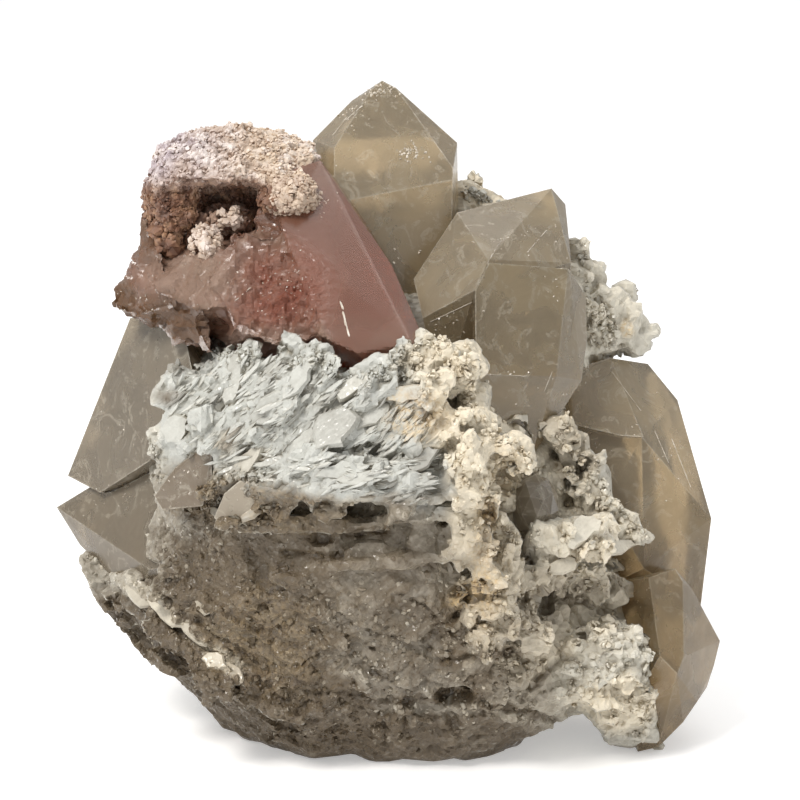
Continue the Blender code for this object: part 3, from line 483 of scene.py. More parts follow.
def patch_strengths(u, v, shake):
    """The strengths of all patches at a pixel; shake unsettles their borders."""
    total = {"tone": 0.0, "warm": 0.0, "stain": 0.0, "speck": 0.0}
    for patch in PATCHES:
        turn = math.radians(patch["turn"])
        sway = min(1.0, min(patch["radii"]) / 45)
        du = u + shake.x * sway - patch["at"][0]
        dv = v + shake.z * sway - patch["at"][1]
        along = (du * math.cos(turn) + dv * math.sin(turn)) / patch["radii"][0]
        across = (dv * math.cos(turn) - du * math.sin(turn)) / patch["radii"][1]
        amount = smooth(1.5 - math.hypot(along, across))
        if amount > 0:
            for key in total:
                total[key] += patch.get(key, 0.0) * amount
    return total


def zone_colours(spot, facing):
    """Tone, warmth, stain and speckle of the rock at a point."""
    p = spot / MM
    wide = noise.fractal(p * 0.06 + Vector((3, 1, 7)), 1.0, 2.0, 3)
    warm = 0.35 + 0.5 * noise.noise(p * 0.09 + Vector((9, 4, 2)))
    stain = smooth(noise.noise(p * 0.11 + Vector((1, 8, 5))) * 2.2 - 0.55) * 0.7
    low = smooth((30 - p.z) / 40)
    tone = 0.36 + 0.55 * wide + 0.35 * low
    speck = low * smooth(0.5 + wide)
    if facing > 0:
        u, v = photo_point(spot)
        shake = noise.noise_vector(p * 0.3) * 17 + noise.noise_vector(p * 1.1) * 9
        here = patch_strengths(u, v, shake)
        front = smooth(facing * 4)
        sway = noise.noise_vector(p * 0.6) * 4
        # darker along the cracks: painted shade in the cracks
        line = crack_share(u + sway.x, v + sway.z) * 0.35
        tone += (0.36 + 0.15 * wide + here["tone"] + line - tone) * front
        warm += (0.40 + here["warm"] + 0.2 * wide - warm) * front
        stain += (here["stain"] - stain) * front
        speck += (here["speck"] - speck) * front
    return [max(0.0, min(1.0, x)) for x in (tone, warm, stain, speck)]


def rock_slabs(rock):
    """Larger plates and knobs that the rock's skin swallows in part."""
    dice = random.Random(3)
    ground = Ground(rock, [tree_of(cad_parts[n]) for n in CRYSTALS])
    heap = Heap()
    for u, v, spot, out in scattered(ground, FAN, 150, dice):
        lean = math.radians(42) + dice.gauss(0, 0.18)
        run = Vector((math.cos(lean), dice.uniform(-0.45, -0.05), math.sin(lean)))
        face = Vector((-0.5 + dice.gauss(0, 0.3), -0.7, 0.5 + dice.gauss(0, 0.3)))
        length = dice.uniform(3.0, 8.0) * MM
        size = (length, length * dice.uniform(0.3, 0.6), dice.uniform(0.7, 1.2) * MM)
        heap.plate(spot + out * dice.uniform(-0.4, 0.6) * MM, run, face, size, PLAIN, dice)
    for (u, v), radius in KNOBS:
        hit = ground.seen_at(u, v)
        if hit:
            spot, out = hit
            radii = [radius * dice.uniform(0.85, 1.15) * MM for _ in range(3)]
            heap.lump(spot - out * radius * 0.35 * MM, radii, PLAIN, dice, 0.04)
    for u, v, spot, out in scattered(ground, SHELF, 16, dice):
        run = Vector((1, dice.uniform(-0.5, -0.1), dice.uniform(-0.05, 0.2)))
        heap.plate(spot, run, Vector((dice.gauss(0, 0.1), -0.25, 1)),
                   (dice.uniform(4, 7) * MM, dice.uniform(3, 5) * MM, 0.8 * MM), PLAIN, dice)
    for (u, v), y, length, width, thick in FILLS:
        heap.plate(at_depth(u, v, y * MM), Vector((1, 0.1, 0.05)), Vector((0.08, -1, 0.1)),
                   (length * MM, width * MM, thick * MM), PLAIN, dice)
    for (u0, v0), (u1, v1) in zip(LEFT_EDGE, LEFT_EDGE[1:]):
        run = Vector((u1 - u0, 0, v0 - v1)).normalized()
        out = Vector((run.z, -0.1, -run.x))
        middle = at_depth((u0 + u1) / 2, (v0 + v1) / 2, 0.5 * MM) - out * 1.4 * MM
        heap.plate(middle, run, out, (math.hypot(u1 - u0, v1 - v0) * PIXEL * 1.7, 12 * MM, 2.8 * MM),
                   PLAIN, dice)
    for u, v, spot, out in scattered(ground, LEFT_SLOPE, 50, dice):
        if out.dot(FORWARD) > -0.45 or out.x < -0.6:
            continue
        run = Vector((0.68, dice.uniform(-0.5, -0.2), -0.6 + dice.gauss(0, 0.08)))
        heap.plate(spot - out * 0.5 * MM, run, out + Vector((dice.gauss(0, 0.07), 0, 0)),
                   (dice.uniform(3, 8) * MM, dice.uniform(1.2, 2.6) * MM, 1.3 * MM), PLAIN, dice)
    for u, v, spot, out in scattered(ground, LOWER_ROCK, 90, dice):
        if dice.random() < spot_share(u, v, *SMOOTH_ROCK):
            continue
        run = Vector((1, dice.uniform(-0.3, 0.1), dice.uniform(-0.5, 0.3)))
        heap.plate(spot - out * 0.2 * MM, run, out + Vector([dice.gauss(0, 0.35) for _ in range(3)]),
                   (dice.uniform(2.5, 7) * MM, dice.uniform(1.5, 3.5) * MM, 1.2 * MM), PLAIN, dice)
    for outline, count in ((SPINE, 90), (RIGHT_FIELD, 45), (SHOULDER, 30), (LOW_RIGHT, 26)):
        for u, v, spot, out in scattered(ground, outline, count, dice):
            if dice.random() < 0.5:
                radii = [dice.uniform(0.8, 2.0) * MM for _ in range(3)]
                heap.lump(spot + out * 0.4 * MM, radii, PLAIN, dice)
            else:
                rosette(heap, spot, out, dice.uniform(2.2, 4.2) * MM, dice, PLAIN)
    placed = 0
    while placed < 330:
        spot, out = ground.anywhere(dice)
        if out.dot(FORWARD) < (0.3 if spot.z < 50 * MM else -0.1) or spot.z < 5 * MM:
            continue
        placed += 1
        if noise.noise(spot / MM * 0.06) + 0.4 * out.z > -0.1:
            rosette(heap, spot, out, dice.uniform(2.5, 5.5) * MM, dice, PLAIN)
        else:
            run = out.cross(Vector((0.3, 0.2, 1)))
            heap.plate(spot - out * 0.2 * MM, run,
                       out + Vector([dice.gauss(0, 0.22) for _ in range(3)]),
                       (dice.uniform(3, 8) * MM, dice.uniform(2, 4) * MM, 1.3 * MM), PLAIN, dice)
    return heap


def join_into(thing, heap):
    """Add a heap's solids to another object's mesh."""
    added = heap.build("added")
    shape = bmesh.new()
    shape.from_mesh(thing.data)
    shape.from_mesh(added.data)
    shape.to_mesh(thing.data)
    shape.free()
    bpy.data.objects.remove(added)


def rock_skin():
    """The rock with its broken, bladed surface, grown tight against the crystals."""
    rock = welded_copy("albite_matrix", "albite_rock")
    join_into(rock, rock_slabs(rock))
    remesh(rock, ROCK_VOXEL)
    crystals = [tree_of(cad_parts[n]) for n in CRYSTALS]
    boxes = [(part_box(n)[0] - Vector([REACH] * 3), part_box(n)[1] + Vector([REACH] * 3))
             for n in CRYSTALS]
    mesh = rock.data
    moved = []
    for spot, out in points_and_normals(mesh):
        facing = -out.dot(FORWARD)
        u, v = photo_point(spot)
        pull = fan_amount(u, v) if facing > -0.2 else 0.3
        calm = smooth(abs(facing) * 2.2)
        if spot.z > 50 * MM or facing < 0:
            calm = max(calm, 0.6)
        height = rock_height(spot, pull) * (0.2 + 0.8 * calm)
        if facing > 0.1:
            sway = noise.noise_vector(spot / MM * 0.6) * 4
            height *= 1 - 0.6 * spot_share(u, v, *SMOOTH_ROCK)
            height -= pit_depth(u, v) + crack_share(u + sway.x, v + sway.z) * 0.55 * MM
        towards = Vector((0, 0, 0))
        for tree, (low, high) in zip(crystals, boxes):
            if all(low[i] < spot[i] < high[i] for i in range(3)):
                near, _, _, gap = tree.find_nearest(spot, REACH)
                if near is not None:
                    towards = (near - spot).normalized() * BITE
                    height *= 0.3
        base = smooth(spot.z / (2.5 * MM))
        place = spot + out * height * base + towards
        place.z = max(place.z, 0.0)
        moved.append(place)
    put_points(mesh, moved)
    thin_out(rock, ROCK_FACES)
    paint_zones(rock)
    return rock


def paint_zones(thing):
    """Store the zones as a colour on every corner point of the mesh."""
    mesh = thing.data
    values = []
    for spot, out in points_and_normals(mesh):
        values += zone_colours(spot, -out.dot(FORWARD))
    field = mesh.color_attributes.new("tint", "FLOAT_COLOR", "POINT")
    field.data.foreach_set("color", values)


class Ground:
    """The finished rock, ready to take small growths."""

    def __init__(self, rock, blockers):
        self.tree = tree_of(rock)
        self.blockers = blockers
        mesh = rock.data
        self.areas = []
        self.faces = []
        total = 0.0
        for tri in mesh.loop_triangles:
            total += tri.area
            self.areas.append(total)
            self.faces.append((tri.center.copy(), tri.normal.copy()))

    def seen_at(self, u, v):
        """Where the line of sight through a pixel meets the rock, unless a crystal hides it."""
        line = sight(u, v)
        spot, out, _, far = self.tree.ray_cast(EYE, line)
        if spot is None:
            return None
        for tree in self.blockers:
            if tree.ray_cast(EYE, line, far)[0] is not None:
                return None
        return spot, out

    def anywhere(self, dice):
        pick = dice.uniform(0, self.areas[-1])
        low, high = 0, len(self.areas) - 1
        while low < high:
            middle = (low + high) // 2
            if self.areas[middle] < pick:
                low = middle + 1
            else:
                high = middle
        return self.faces[low]


def scattered(ground, outline, count, dice):
    """Points of the rock that show inside a pixel outline."""
    us = [u for u, _ in outline]
    vs = [v for _, v in outline]
    found = []
    tries = 0
    while len(found) < count and tries < count * 6:
        tries += 1
        u, v = dice.uniform(min(us), max(us)), dice.uniform(min(vs), max(vs))
        if inside(outline, u, v):
            hit = ground.seen_at(u, v)
            if hit:
                found.append((u, v, *hit))
    return found


def shifted_tint(spot, out, dice, tone=0.0, warm=0.0):
    zone = zone_colours(spot, max(-out.dot(FORWARD), 0.15) if spot.y < 0.005 else 0.0)
    zone[0] = max(0.0, min(1.0, zone[0] + tone + dice.gauss(0, 0.16)))
    zone[1] = max(0.0, min(1.0, zone[1] + warm + dice.uniform(-0.12, 0.12)))
    return tuple(zone)


def broken_outline(dice):
    """The outline of a plate with a chipped edge, one unit long and wide."""
    return [(math.cos(a) * dice.uniform(0.36, 0.56), math.sin(a) * dice.uniform(0.34, 0.56))
            for a in [math.tau * k / 15 + dice.uniform(-0.12, 0.12) for k in range(15)]]


def fan_plates(ground):
    """The shingled plates of the fan, leaning up and to the right."""
    dice = random.Random(5)
    heap = Heap()
    for first, last, width, thick, tone, warm in PLATES:
        ends = [ground.seen_at(*first), ground.seen_at(*last)]
        if None in ends:
            continue
        (low, out), (high, _) = ends
        if (high - low).length > 14 * MM:
            continue
        out = (out * 0.5 - FORWARD + Vector((-0.25, 0, 0.35))).normalized()
        around = zone_colours((low + high) / 2, 1.0)
        shade = (tone + 0.3 * around[0] + dice.uniform(-0.05, 0.08), 0.4 * warm + 0.6 * around[1],
                 around[2], 0.0)
        lift = (0.12 if thick <= 0.5 else -0.25) * MM
        heap.plate((low + high) / 2 + out * lift, high - low, out,
                   ((high - low).length * 1.05, width * MM, thick * 0.8 * MM), shade, dice,
                   broken_outline(dice))
    for u, v, spot, out in scattered(ground, FAN, 1500, dice):
        crowd = noise.noise(spot / MM * 0.28)
        if crowd < -0.05 and dice.random() < 0.75:
            continue
        if any(math.hypot(u - at[0], v - at[1]) < radius * 6 for at, radius in KNOBS):
            continue
        lean = math.radians(44) + dice.gauss(0, 0.10) + 0.5 * noise.noise(spot / MM * 0.15)
        if v > 455:
            lean = math.radians(14) + dice.gauss(0, 0.2)
        run = Vector((math.cos(lean), dice.uniform(-0.3, 0.1), math.sin(lean)))
        face = Vector((-0.45 + dice.gauss(0, 0.25), -0.75, 0.45 + dice.gauss(0, 0.25)))
        length = (0.7 + 4.6 * dice.random() ** 2.2) * MM
        size = (length, length * dice.uniform(0.08, 0.26), dice.uniform(0.10, 0.28) * MM)
        heap.plate(spot - out * dice.uniform(0.0, 0.12) * MM, run, face, size,
                   shifted_tint(spot, out, dice, tone=-0.03), dice)
    return heap


def rosette(heap, spot, out, size, dice, tint):
    """A few plates that grow from one point in different directions."""
    for _ in range(dice.randint(2, 4)):
        run = (out + Vector([dice.uniform(-0.9, 0.9) for _ in range(3)])).normalized()
        face = Vector([dice.uniform(-1, 1) for _ in range(3)])
        length = size * dice.uniform(0.8, 1.4)
        heap.plate(spot + run * length * 0.25, run, face,
                   (length, length * dice.uniform(0.45, 0.85), length * dice.uniform(0.12, 0.3)),
                   tint, dice)


def crust_growths(ground):
    """Popcorn lumps and little blades of the spine, the right field and the shoulder."""
    dice = random.Random(11)
    heap = Heap()
    for outline, count in ((SPINE, 900), (RIGHT_FIELD, 330), (SHOULDER, 240), (PEAK, 90),
                           (LOW_RIGHT, 200), (LEFT_KNOBS, 120)):
        for u, v, spot, out in scattered(ground, outline, count, dice):
            if noise.noise(spot / MM * 0.3) > 0.0 or dice.random() < 0.2:
                popcorn(heap, spot, out, dice)
    for rim in RIMS:
        for _ in range(45 * len(rim)):
            step = dice.randrange(len(rim) - 1)
            part = dice.random()
            u = rim[step][0] * (1 - part) + rim[step + 1][0] * part + dice.gauss(0, 4)
            v = rim[step][1] * (1 - part) + rim[step + 1][1] * part + dice.gauss(0, 4)
            hit = ground.seen_at(u, v)
            if hit:
                popcorn(heap, *hit, dice)
    return heap


def popcorn(heap, spot, out, dice):
    """One small lump or rosette, mostly tiny and now and then large."""
    tint = shifted_tint(spot, out, dice, tone=-0.08)
    size = (0.35 + 1.0 * dice.random() ** 3) * MM
    if dice.random() < 0.6:
        radii = [size * dice.uniform(0.35, 0.8) for _ in range(3)]
        heap.lump(spot - out * size * 0.1, radii, tint, dice, 0.15)
    else:
        rosette(heap, spot, out, size, dice, tint)


def loose_growths(ground):
    """Blades and grains over the lower rock, the back, the top and the sides."""
    dice = random.Random(23)
    heap = Heap()
    for u, v, spot, out in scattered(ground, LOWER_ROCK, 2600, dice):
        if dice.random() < 0.9 * spot_share(u, v, *SMOOTH_ROCK):
            continue
        size = (0.16 + 0.5 * dice.random() ** 3) * MM
        heap.lump(spot - out * size * 0.3, [size * dice.uniform(0.5, 1.1) for _ in range(3)],
                  shifted_tint(spot, out, dice, tone=-0.08), dice, 0.35)
    placed = 0
    while placed < 2600:
        spot, out = ground.anywhere(dice)
        facing = -out.dot(FORWARD)
        if facing > (-0.25 if spot.z < 50 * MM else 0.1) or spot.z < 3 * MM:
            continue
        placed += 1
        rich = noise.noise(spot / MM * 0.07) + 0.5 * out.z
        if rich > -0.25 or dice.random() < 0.3:
            popcorn(heap, spot, out, dice)
    return heap


# The lepidolite crust

def crust_colours(spot, out):
    """Purple, cream, brown and white shares of the lepidolite at a point."""
    p = spot / MM
    drift = noise.fractal(p * 0.25, 1.0, 2.0, 2)
    u, v = photo_point(spot)
    purple = smooth((245 - u) / 90 + 0.5 * drift) * smooth((190 - v) / 40 + 0.4)
    brown = smooth((v - 172) / 22 + 0.7 * drift) if p.z < 87.5 else 0.0
    brown = max(brown, smooth(-out.z * 1.5 + 0.2) * 0.8)
    cream = smooth((u - 215) / 60 + 0.6 * drift)
    return (purple, cream, brown, max(0.0, min(1.0, 0.5 + drift)))


def lepidolite_skin():
    crust = welded_copy("lepidolite_crust", "lepidolite_skin")
    remesh(crust, CRUST_VOXEL)
    mesh = crust.data
    near = [tree_of(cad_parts[n]) for n in ("morganite_crystal", "quartz_centre_group")]
    moved = []
    for spot, out in points_and_normals(mesh):
        p = spot / MM
        grains = noise.voronoi(p * 0.8, distance_metric="DISTANCE")
        cell = noise.cell_vector(grains[1][0] * 3.7)
        height = (cell.x - 0.4) * 0.75 + 0.35 * noise.fractal(p * 1.5, 0.8, 2.0, 3)
        height -= 0.5 * grains[0][0]
        towards = Vector((0, 0, 0))
        for tree in near:
            touch = tree.find_nearest(spot, REACH)[0]
            if touch is not None:
                towards = (touch - spot).normalized() * BITE
                height *= 0.3
        moved.append(spot + out * height * MM + towards)
    put_points(mesh, moved)
    thin_out(crust, CRUST_SKIN_FACES)
    values = []
    for spot, out in points_and_normals(crust.data):
        values += crust_colours(spot, out)
    field = crust.data.color_attributes.new("tint", "FLOAT_COLOR", "POINT")
    field.data.foreach_set("color", values)
    return crust


def mica_flakes(crust):
    """Bright little books of mica scattered over the crust."""
    dice = random.Random(31)
    ground = Ground(crust, [])
    heap = Heap()
    for _ in range(3600):
        spot, out = ground.anywhere(dice)
        if out.z < -0.6:
            continue
        face = (out + Vector([dice.uniform(-0.9, 0.9) for _ in range(3)])).normalized()
        run = face.orthogonal()
        length = dice.uniform(0.35, 0.95) * MM
        shares = list(crust_colours(spot, out))
        shares[3] = min(1.0, max(0.0, shares[3] + dice.uniform(-0.4, 0.4)))
        heap.plate(spot + out * 0.1 * MM, run, face,
                   (length, length * dice.uniform(0.7, 1.0), length * dice.uniform(0.2, 0.5)),
                   tuple(shares), dice)
    return heap


# The morganite

def spot_share(u, v, spot, radii, turn=0.0):
    """1 at a pixel and 0 beyond its radii."""
    angle = math.radians(turn)
    du, dv = u - spot[0], v - spot[1]
    along = (du * math.cos(angle) + dv * math.sin(angle)) / radii[0]
    across = (dv * math.cos(angle) - du * math.sin(angle)) / radii[1]
    return smooth(1.5 - math.hypot(along, across))


def broken_share(u, v):
    """1 on the broken left part of the morganite, 0 on the clean prism."""
    edge = u - (283 + (v - 225) * 0.45)
    return smooth(-edge / 9)


def morganite_colours(spot):
    """Pink depth, reddish heart, frost and tan of the morganite at a point."""
    p = spot / MM
    drift = noise.fractal(p * 0.22, 0.9, 2.0, 3)
    u, v = photo_point(spot)
    pink = 0.45 + 0.3 * drift + 0.6 * spot_share(u, v, (352, 262), (48, 75), -30)
    heart = spot_share(u + 10 * drift, v, (280, 295), (50, 50)) * (0.8 + 0.5 * drift)
    broken = broken_share(u, v)
    frost = broken * smooth(0.25 + 1.4 * drift) * (1 - heart)
    frost = max(frost, spot_share(u, v, (190, 275), (48, 34)) * 0.8)
    frost = max(frost, 0.7 * smooth((v - 318) / 22) * smooth((350 - u) / 60))
    tan = max(spot_share(u, v, (168, 322), (48, 26), 15), spot_share(u, v, (122, 300), (18, 22)))
    tan = max(tan, spot_share(u, v, (150, 240), (22, 26)) * 0.7)
    tan = max(tan, smooth(1.1 * noise.noise(p * 0.12 + Vector((4, 4, 1)))) * broken * 0.5)
    return [max(0.0, min(1.0, x)) for x in (pink, heart, frost, tan)]


def morganite_skin():
    """The morganite with its broken, rippled left part and its etched heart."""
    gem = welded_copy("morganite_crystal", "morganite_body")
    seat = tree_of(gem)
    remesh(gem, GEM_VOXEL)
    mesh = gem.data
    moved = []
    for spot, out in points_and_normals(mesh):
        spot = seat.find_nearest(spot)[0]
        p = spot / MM
        u, v = photo_point(spot)
        broken = broken_share(u, v)
        heart = spot_share(u, v, (280, 295), (45, 45))
        waves = noise.fractal(p * 0.16 + Vector((2, 0, 5)), 0.9, 2.0, 3)
        shell = 1 - abs(math.sin(p.length * 0.9 + 3 * waves))
        pits = noise.fractal(p * 1.2, 0.7, 2.0, 2)
        rings = 1 - abs(math.sin((p - Vector((-38, -20, 76))).length * 1.5 + 2.2 * waves))
        height = broken * (1.5 * waves - 0.6 + 0.35 * shell + 0.4 * rings ** 3 + 0.12 * pits)
        height += heart * 0.35 * pits
        moved.append(spot + out * height * MM)
    put_points(mesh, moved)
    thin_out(gem, GEM_FACES)
    values = []
    for vert in gem.data.vertices:
        values += morganite_colours(vert.co)
    field = gem.data.color_attributes.new("tint", "FLOAT_COLOR", "POINT")
    field.data.foreach_set("color", values)
    gem.data.polygons.foreach_set("use_smooth", [True] * len(gem.data.polygons))
    gem.data.set_sharp_from_angle(angle=GEM_CREASE)
    return gem


def at_depth(u, v, y):
    """The point on a pixel's line of sight at a given y."""
    line = sight(u, v)
    return EYE + line * ((y - EYE.y) / line.y)


def stained_lumps():
    """Brown and ochre lumps that fill the hollow between the crust and the morganite."""
    dice = random.Random(41)
    heap = Heap()
    for (low_u, high_u), (low_v, high_v), (near, far), count, size, tint in STAINED:
        for _ in range(count):
            angle = dice.uniform(0, math.tau)
            reach = math.sqrt(dice.random()) / 2
            u = (low_u + high_u) / 2 + (high_u - low_u) * reach * math.cos(angle)
            v = (low_v + high_v) / 2 + (high_v - low_v) * reach * math.sin(angle)
            edge = 0.7 * (2 * reach) ** 2
            spot = at_depth(u, v, (near + (far - near) * (edge + 0.3 * dice.random())) * MM)
            radii = [dice.uniform(*size) * (1.1 - 0.6 * edge) * MM for _ in range(3)]
            shares = [max(0.0, min(1.0, x + dice.uniform(-0.15, 0.15))) for x in tint]
            heap.lump(spot, radii, tuple(shares), dice, 0.3)
            for _ in range(5):
                away = Vector([dice.uniform(-1, 1) for _ in range(3)]).normalized()
                heap.lump(spot + away * radii[0] * 0.9, [r * 0.4 for r in radii],
                          tuple(shares), dice, 0.3)
    return heap


# Small things inside and on the clear crystals

def flecks_and_painted_highlights():
    """Bright flecks and healed cracks inside the quartz, some where the photograph shows them, and bright
    lines on the crystals; on the morganite the flecks are painted glints and the first lines a painted
    highlight.
    """
    dice = random.Random(51)
    heap = Heap()
    for name in CRYSTALS[1:]:
        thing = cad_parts[name]
        ground = Ground(thing, [])
        low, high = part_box(name)
        count = int(8 + (high - low).length / MM * 0.8)
        for _ in range(count):
            spot, out = ground.anywhere(dice)
            length = (0.15 + 0.8 * dice.random() ** 3) * MM
            spot = spot - out * (length * 0.4 + dice.random() ** 2 * 4 * MM)
            heap.plate(spot, Vector([dice.uniform(-1, 1) for _ in range(3)]),
                       Vector([dice.uniform(-1, 1) for _ in range(3)]),
                       (length, length * 0.5, length * 0.08), PLAIN, dice)
    trees = [tree_of(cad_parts[n]) for n in CRYSTALS]
    # listed flecks; those on the morganite are painted glints
    for (u, v), (wide, high), count, size in FLECKS:
        for _ in range(count):
            line = sight(u + dice.gauss(0, wide), v + dice.gauss(0, high))
            hits = [tree.ray_cast(EYE, line) for tree in trees]
            hits = [hit for hit in hits if hit[0] is not None]
            if hits:
                spot, out, _, _ = min(hits, key=lambda hit: hit[3])
                length = size * (0.25 + 0.9 * dice.random() ** 2) * MM
                heap.plate(spot - out * 0.05 * MM, Vector([dice.uniform(-1, 1) for _ in range(3)]),
                           out + Vector([dice.uniform(-0.7, 0.7) for _ in range(3)]),
                           (length, length * 0.6, length * 0.15), PLAIN, dice)
    # bright lines; the first three, on the morganite, are a painted highlight
    for (u0, v0), (u1, v1), width in STREAKS:
        steps = max(2, int(math.hypot(u1 - u0, v1 - v0) / 4))
        for k in range(steps):
            part = (k + dice.uniform(0.2, 0.8)) / steps
            u, v = u0 + (u1 - u0) * part, v0 + (v1 - v0) * part
            hits = [tree.ray_cast(EYE, sight(u, v)) for tree in trees]
            hits = [hit for hit in hits if hit[0] is not None]
            if not hits:
                continue
            spot, out, _, _ = min(hits, key=lambda hit: hit[3])
            run = Vector((u1 - u0, 0, 0)) - UPWARD * (v1 - v0)
            length = 6.5 * PIXEL * dice.uniform(0.8, 1.3)
            heap.plate(spot + out * 0.02 * MM, run - out * run.dot(out), out,
                       (length, width * MM * dice.uniform(0.6, 1.3), 0.10 * MM), PLAIN, dice)
    return heap


# Materials

def blank_material(name):
    made = bpy.data.materials.new(name)
    made.use_nodes = True
    nodes = made.node_tree.nodes
    return made, nodes, made.node_tree.links, nodes["Principled BSDF"]


def place_node(nodes):
    """Where a point is, in metres."""
    where = nodes.new("ShaderNodeTexCoord")
    return where.outputs["Object"]


def noise_node(nodes, links, place, scale, detail=3.0, rough=0.55, warp=0.0):
    made = nodes.new("ShaderNodeTexNoise")
    made.inputs["Scale"].default_value = scale
    made.inputs["Detail"].default_value = detail
    made.inputs["Roughness"].default_value = rough
    made.inputs["Distortion"].default_value = warp
    links.new(place, made.inputs["Vector"])
    return made.outputs["Fac"]


def ramp_node(nodes, links, value, stops):
    made = nodes.new("ShaderNodeValToRGB")
    bar = made.color_ramp
    while len(bar.elements) < len(stops):
        bar.elements.new(0.5)
    for element, (place, shade) in zip(bar.elements, stops):
        element.position = place
        element.color = (*shade, 1.0) if isinstance(shade, tuple) else (shade, shade, shade, 1.0)
    links.new(value, made.inputs["Fac"])
    return made.outputs["Color"]


def feed(links, source, socket):
    """Link a socket's source, or set it when the source is a plain value."""
    if isinstance(source, bpy.types.NodeSocket):
        links.new(source, socket)
    elif isinstance(source, tuple):
        socket.default_value = (*source, 1.0)
    else:
        socket.default_value = source


def mix_node(nodes, links, share, first, second, blend="MIX"):
    made = nodes.new("ShaderNodeMix")
    made.data_type = "RGBA"
    made.blend_type = blend
    feed(links, share, made.inputs["Factor"])
    feed(links, first, made.inputs[6])
    feed(links, second, made.inputs[7])
    return made.outputs[2]


def math_node(nodes, links, operation, first, second=0.0, clamp=False):
    made = nodes.new("ShaderNodeMath")
    made.operation = operation
    made.use_clamp = clamp
    feed(links, first, made.inputs[0])
    feed(links, second, made.inputs[1])
    return made.outputs[0]


def split_tint(nodes, links):
    """The four zone strengths of the tint attribute."""
    tint = nodes.new("ShaderNodeAttribute")
    tint.attribute_name = "tint"
    parts = nodes.new("ShaderNodeSeparateColor")
    links.new(tint.outputs["Color"], parts.inputs["Color"])
    return (*[parts.outputs[n] for n in ("Red", "Green", "Blue")], tint.outputs["Alpha"])


def bump_node(nodes, links, height, strength, distance, before=None):
    made = nodes.new("ShaderNodeBump")
    feed(links, strength, made.inputs["Strength"])
    made.inputs["Distance"].default_value = distance
    links.new(height, made.inputs["Height"])
    if before is not None:
        links.new(before, made.inputs["Normal"])
    return made.outputs["Normal"]


def paint_hollow_shade_and_edge_light(nodes, links, body, depth, floor_shade):
    """Painted shade: the colour darkened where the surface is hemmed in, and a painted highlight that
    lifts it a little on its edges.
    """
    # painted shade in the hollows, from ambient occlusion
    hollow = nodes.new("ShaderNodeAmbientOcclusion")
    hollow.samples = 6
    hollow.inputs["Distance"].default_value = depth
    shade = ramp_node(nodes, links, hollow.outputs["AO"], [(0.2, floor_shade), (0.8, (1.0,) * 3)])
    body = mix_node(nodes, links, 1.0, body, shade, "MULTIPLY")
    # painted highlight on sharp edges and painted shade in creases, from the pointiness
    bend = nodes.new("ShaderNodeNewGeometry")
    edge = ramp_node(nodes, links, bend.outputs["Pointiness"],
                     [(0.44, (0.84, 0.84, 0.84)), (0.5, (0.96, 0.96, 0.96)), (0.58, (1.08, 1.08, 1.08))])
    return mix_node(nodes, links, 1.0, body, edge, "MULTIPLY")


def grains_node(nodes, links, place, scale):
    """Grains: a shade of their own and how far a point is from their middle."""
    made = nodes.new("ShaderNodeTexVoronoi")
    made.inputs["Scale"].default_value = scale
    links.new(place, made.inputs["Vector"])
    parts = nodes.new("ShaderNodeSeparateColor")
    links.new(made.outputs["Color"], parts.inputs["Color"])
    return parts.outputs["Red"], made.outputs["Distance"]


def grooves_node(nodes, links, place):
    """Fine lines along the blades."""
    turn = nodes.new("ShaderNodeMapping")
    turn.inputs["Rotation"].default_value = (0.0, math.radians(42), 0.0)
    links.new(place, turn.inputs["Vector"])
    squeeze = nodes.new("ShaderNodeMapping")
    squeeze.inputs["Scale"].default_value = (0.14, 1.0, 1.0)
    links.new(turn.outputs["Vector"], squeeze.inputs["Vector"])
    return noise_node(nodes, links, squeeze.outputs["Vector"], 1500, 3, 0.6)


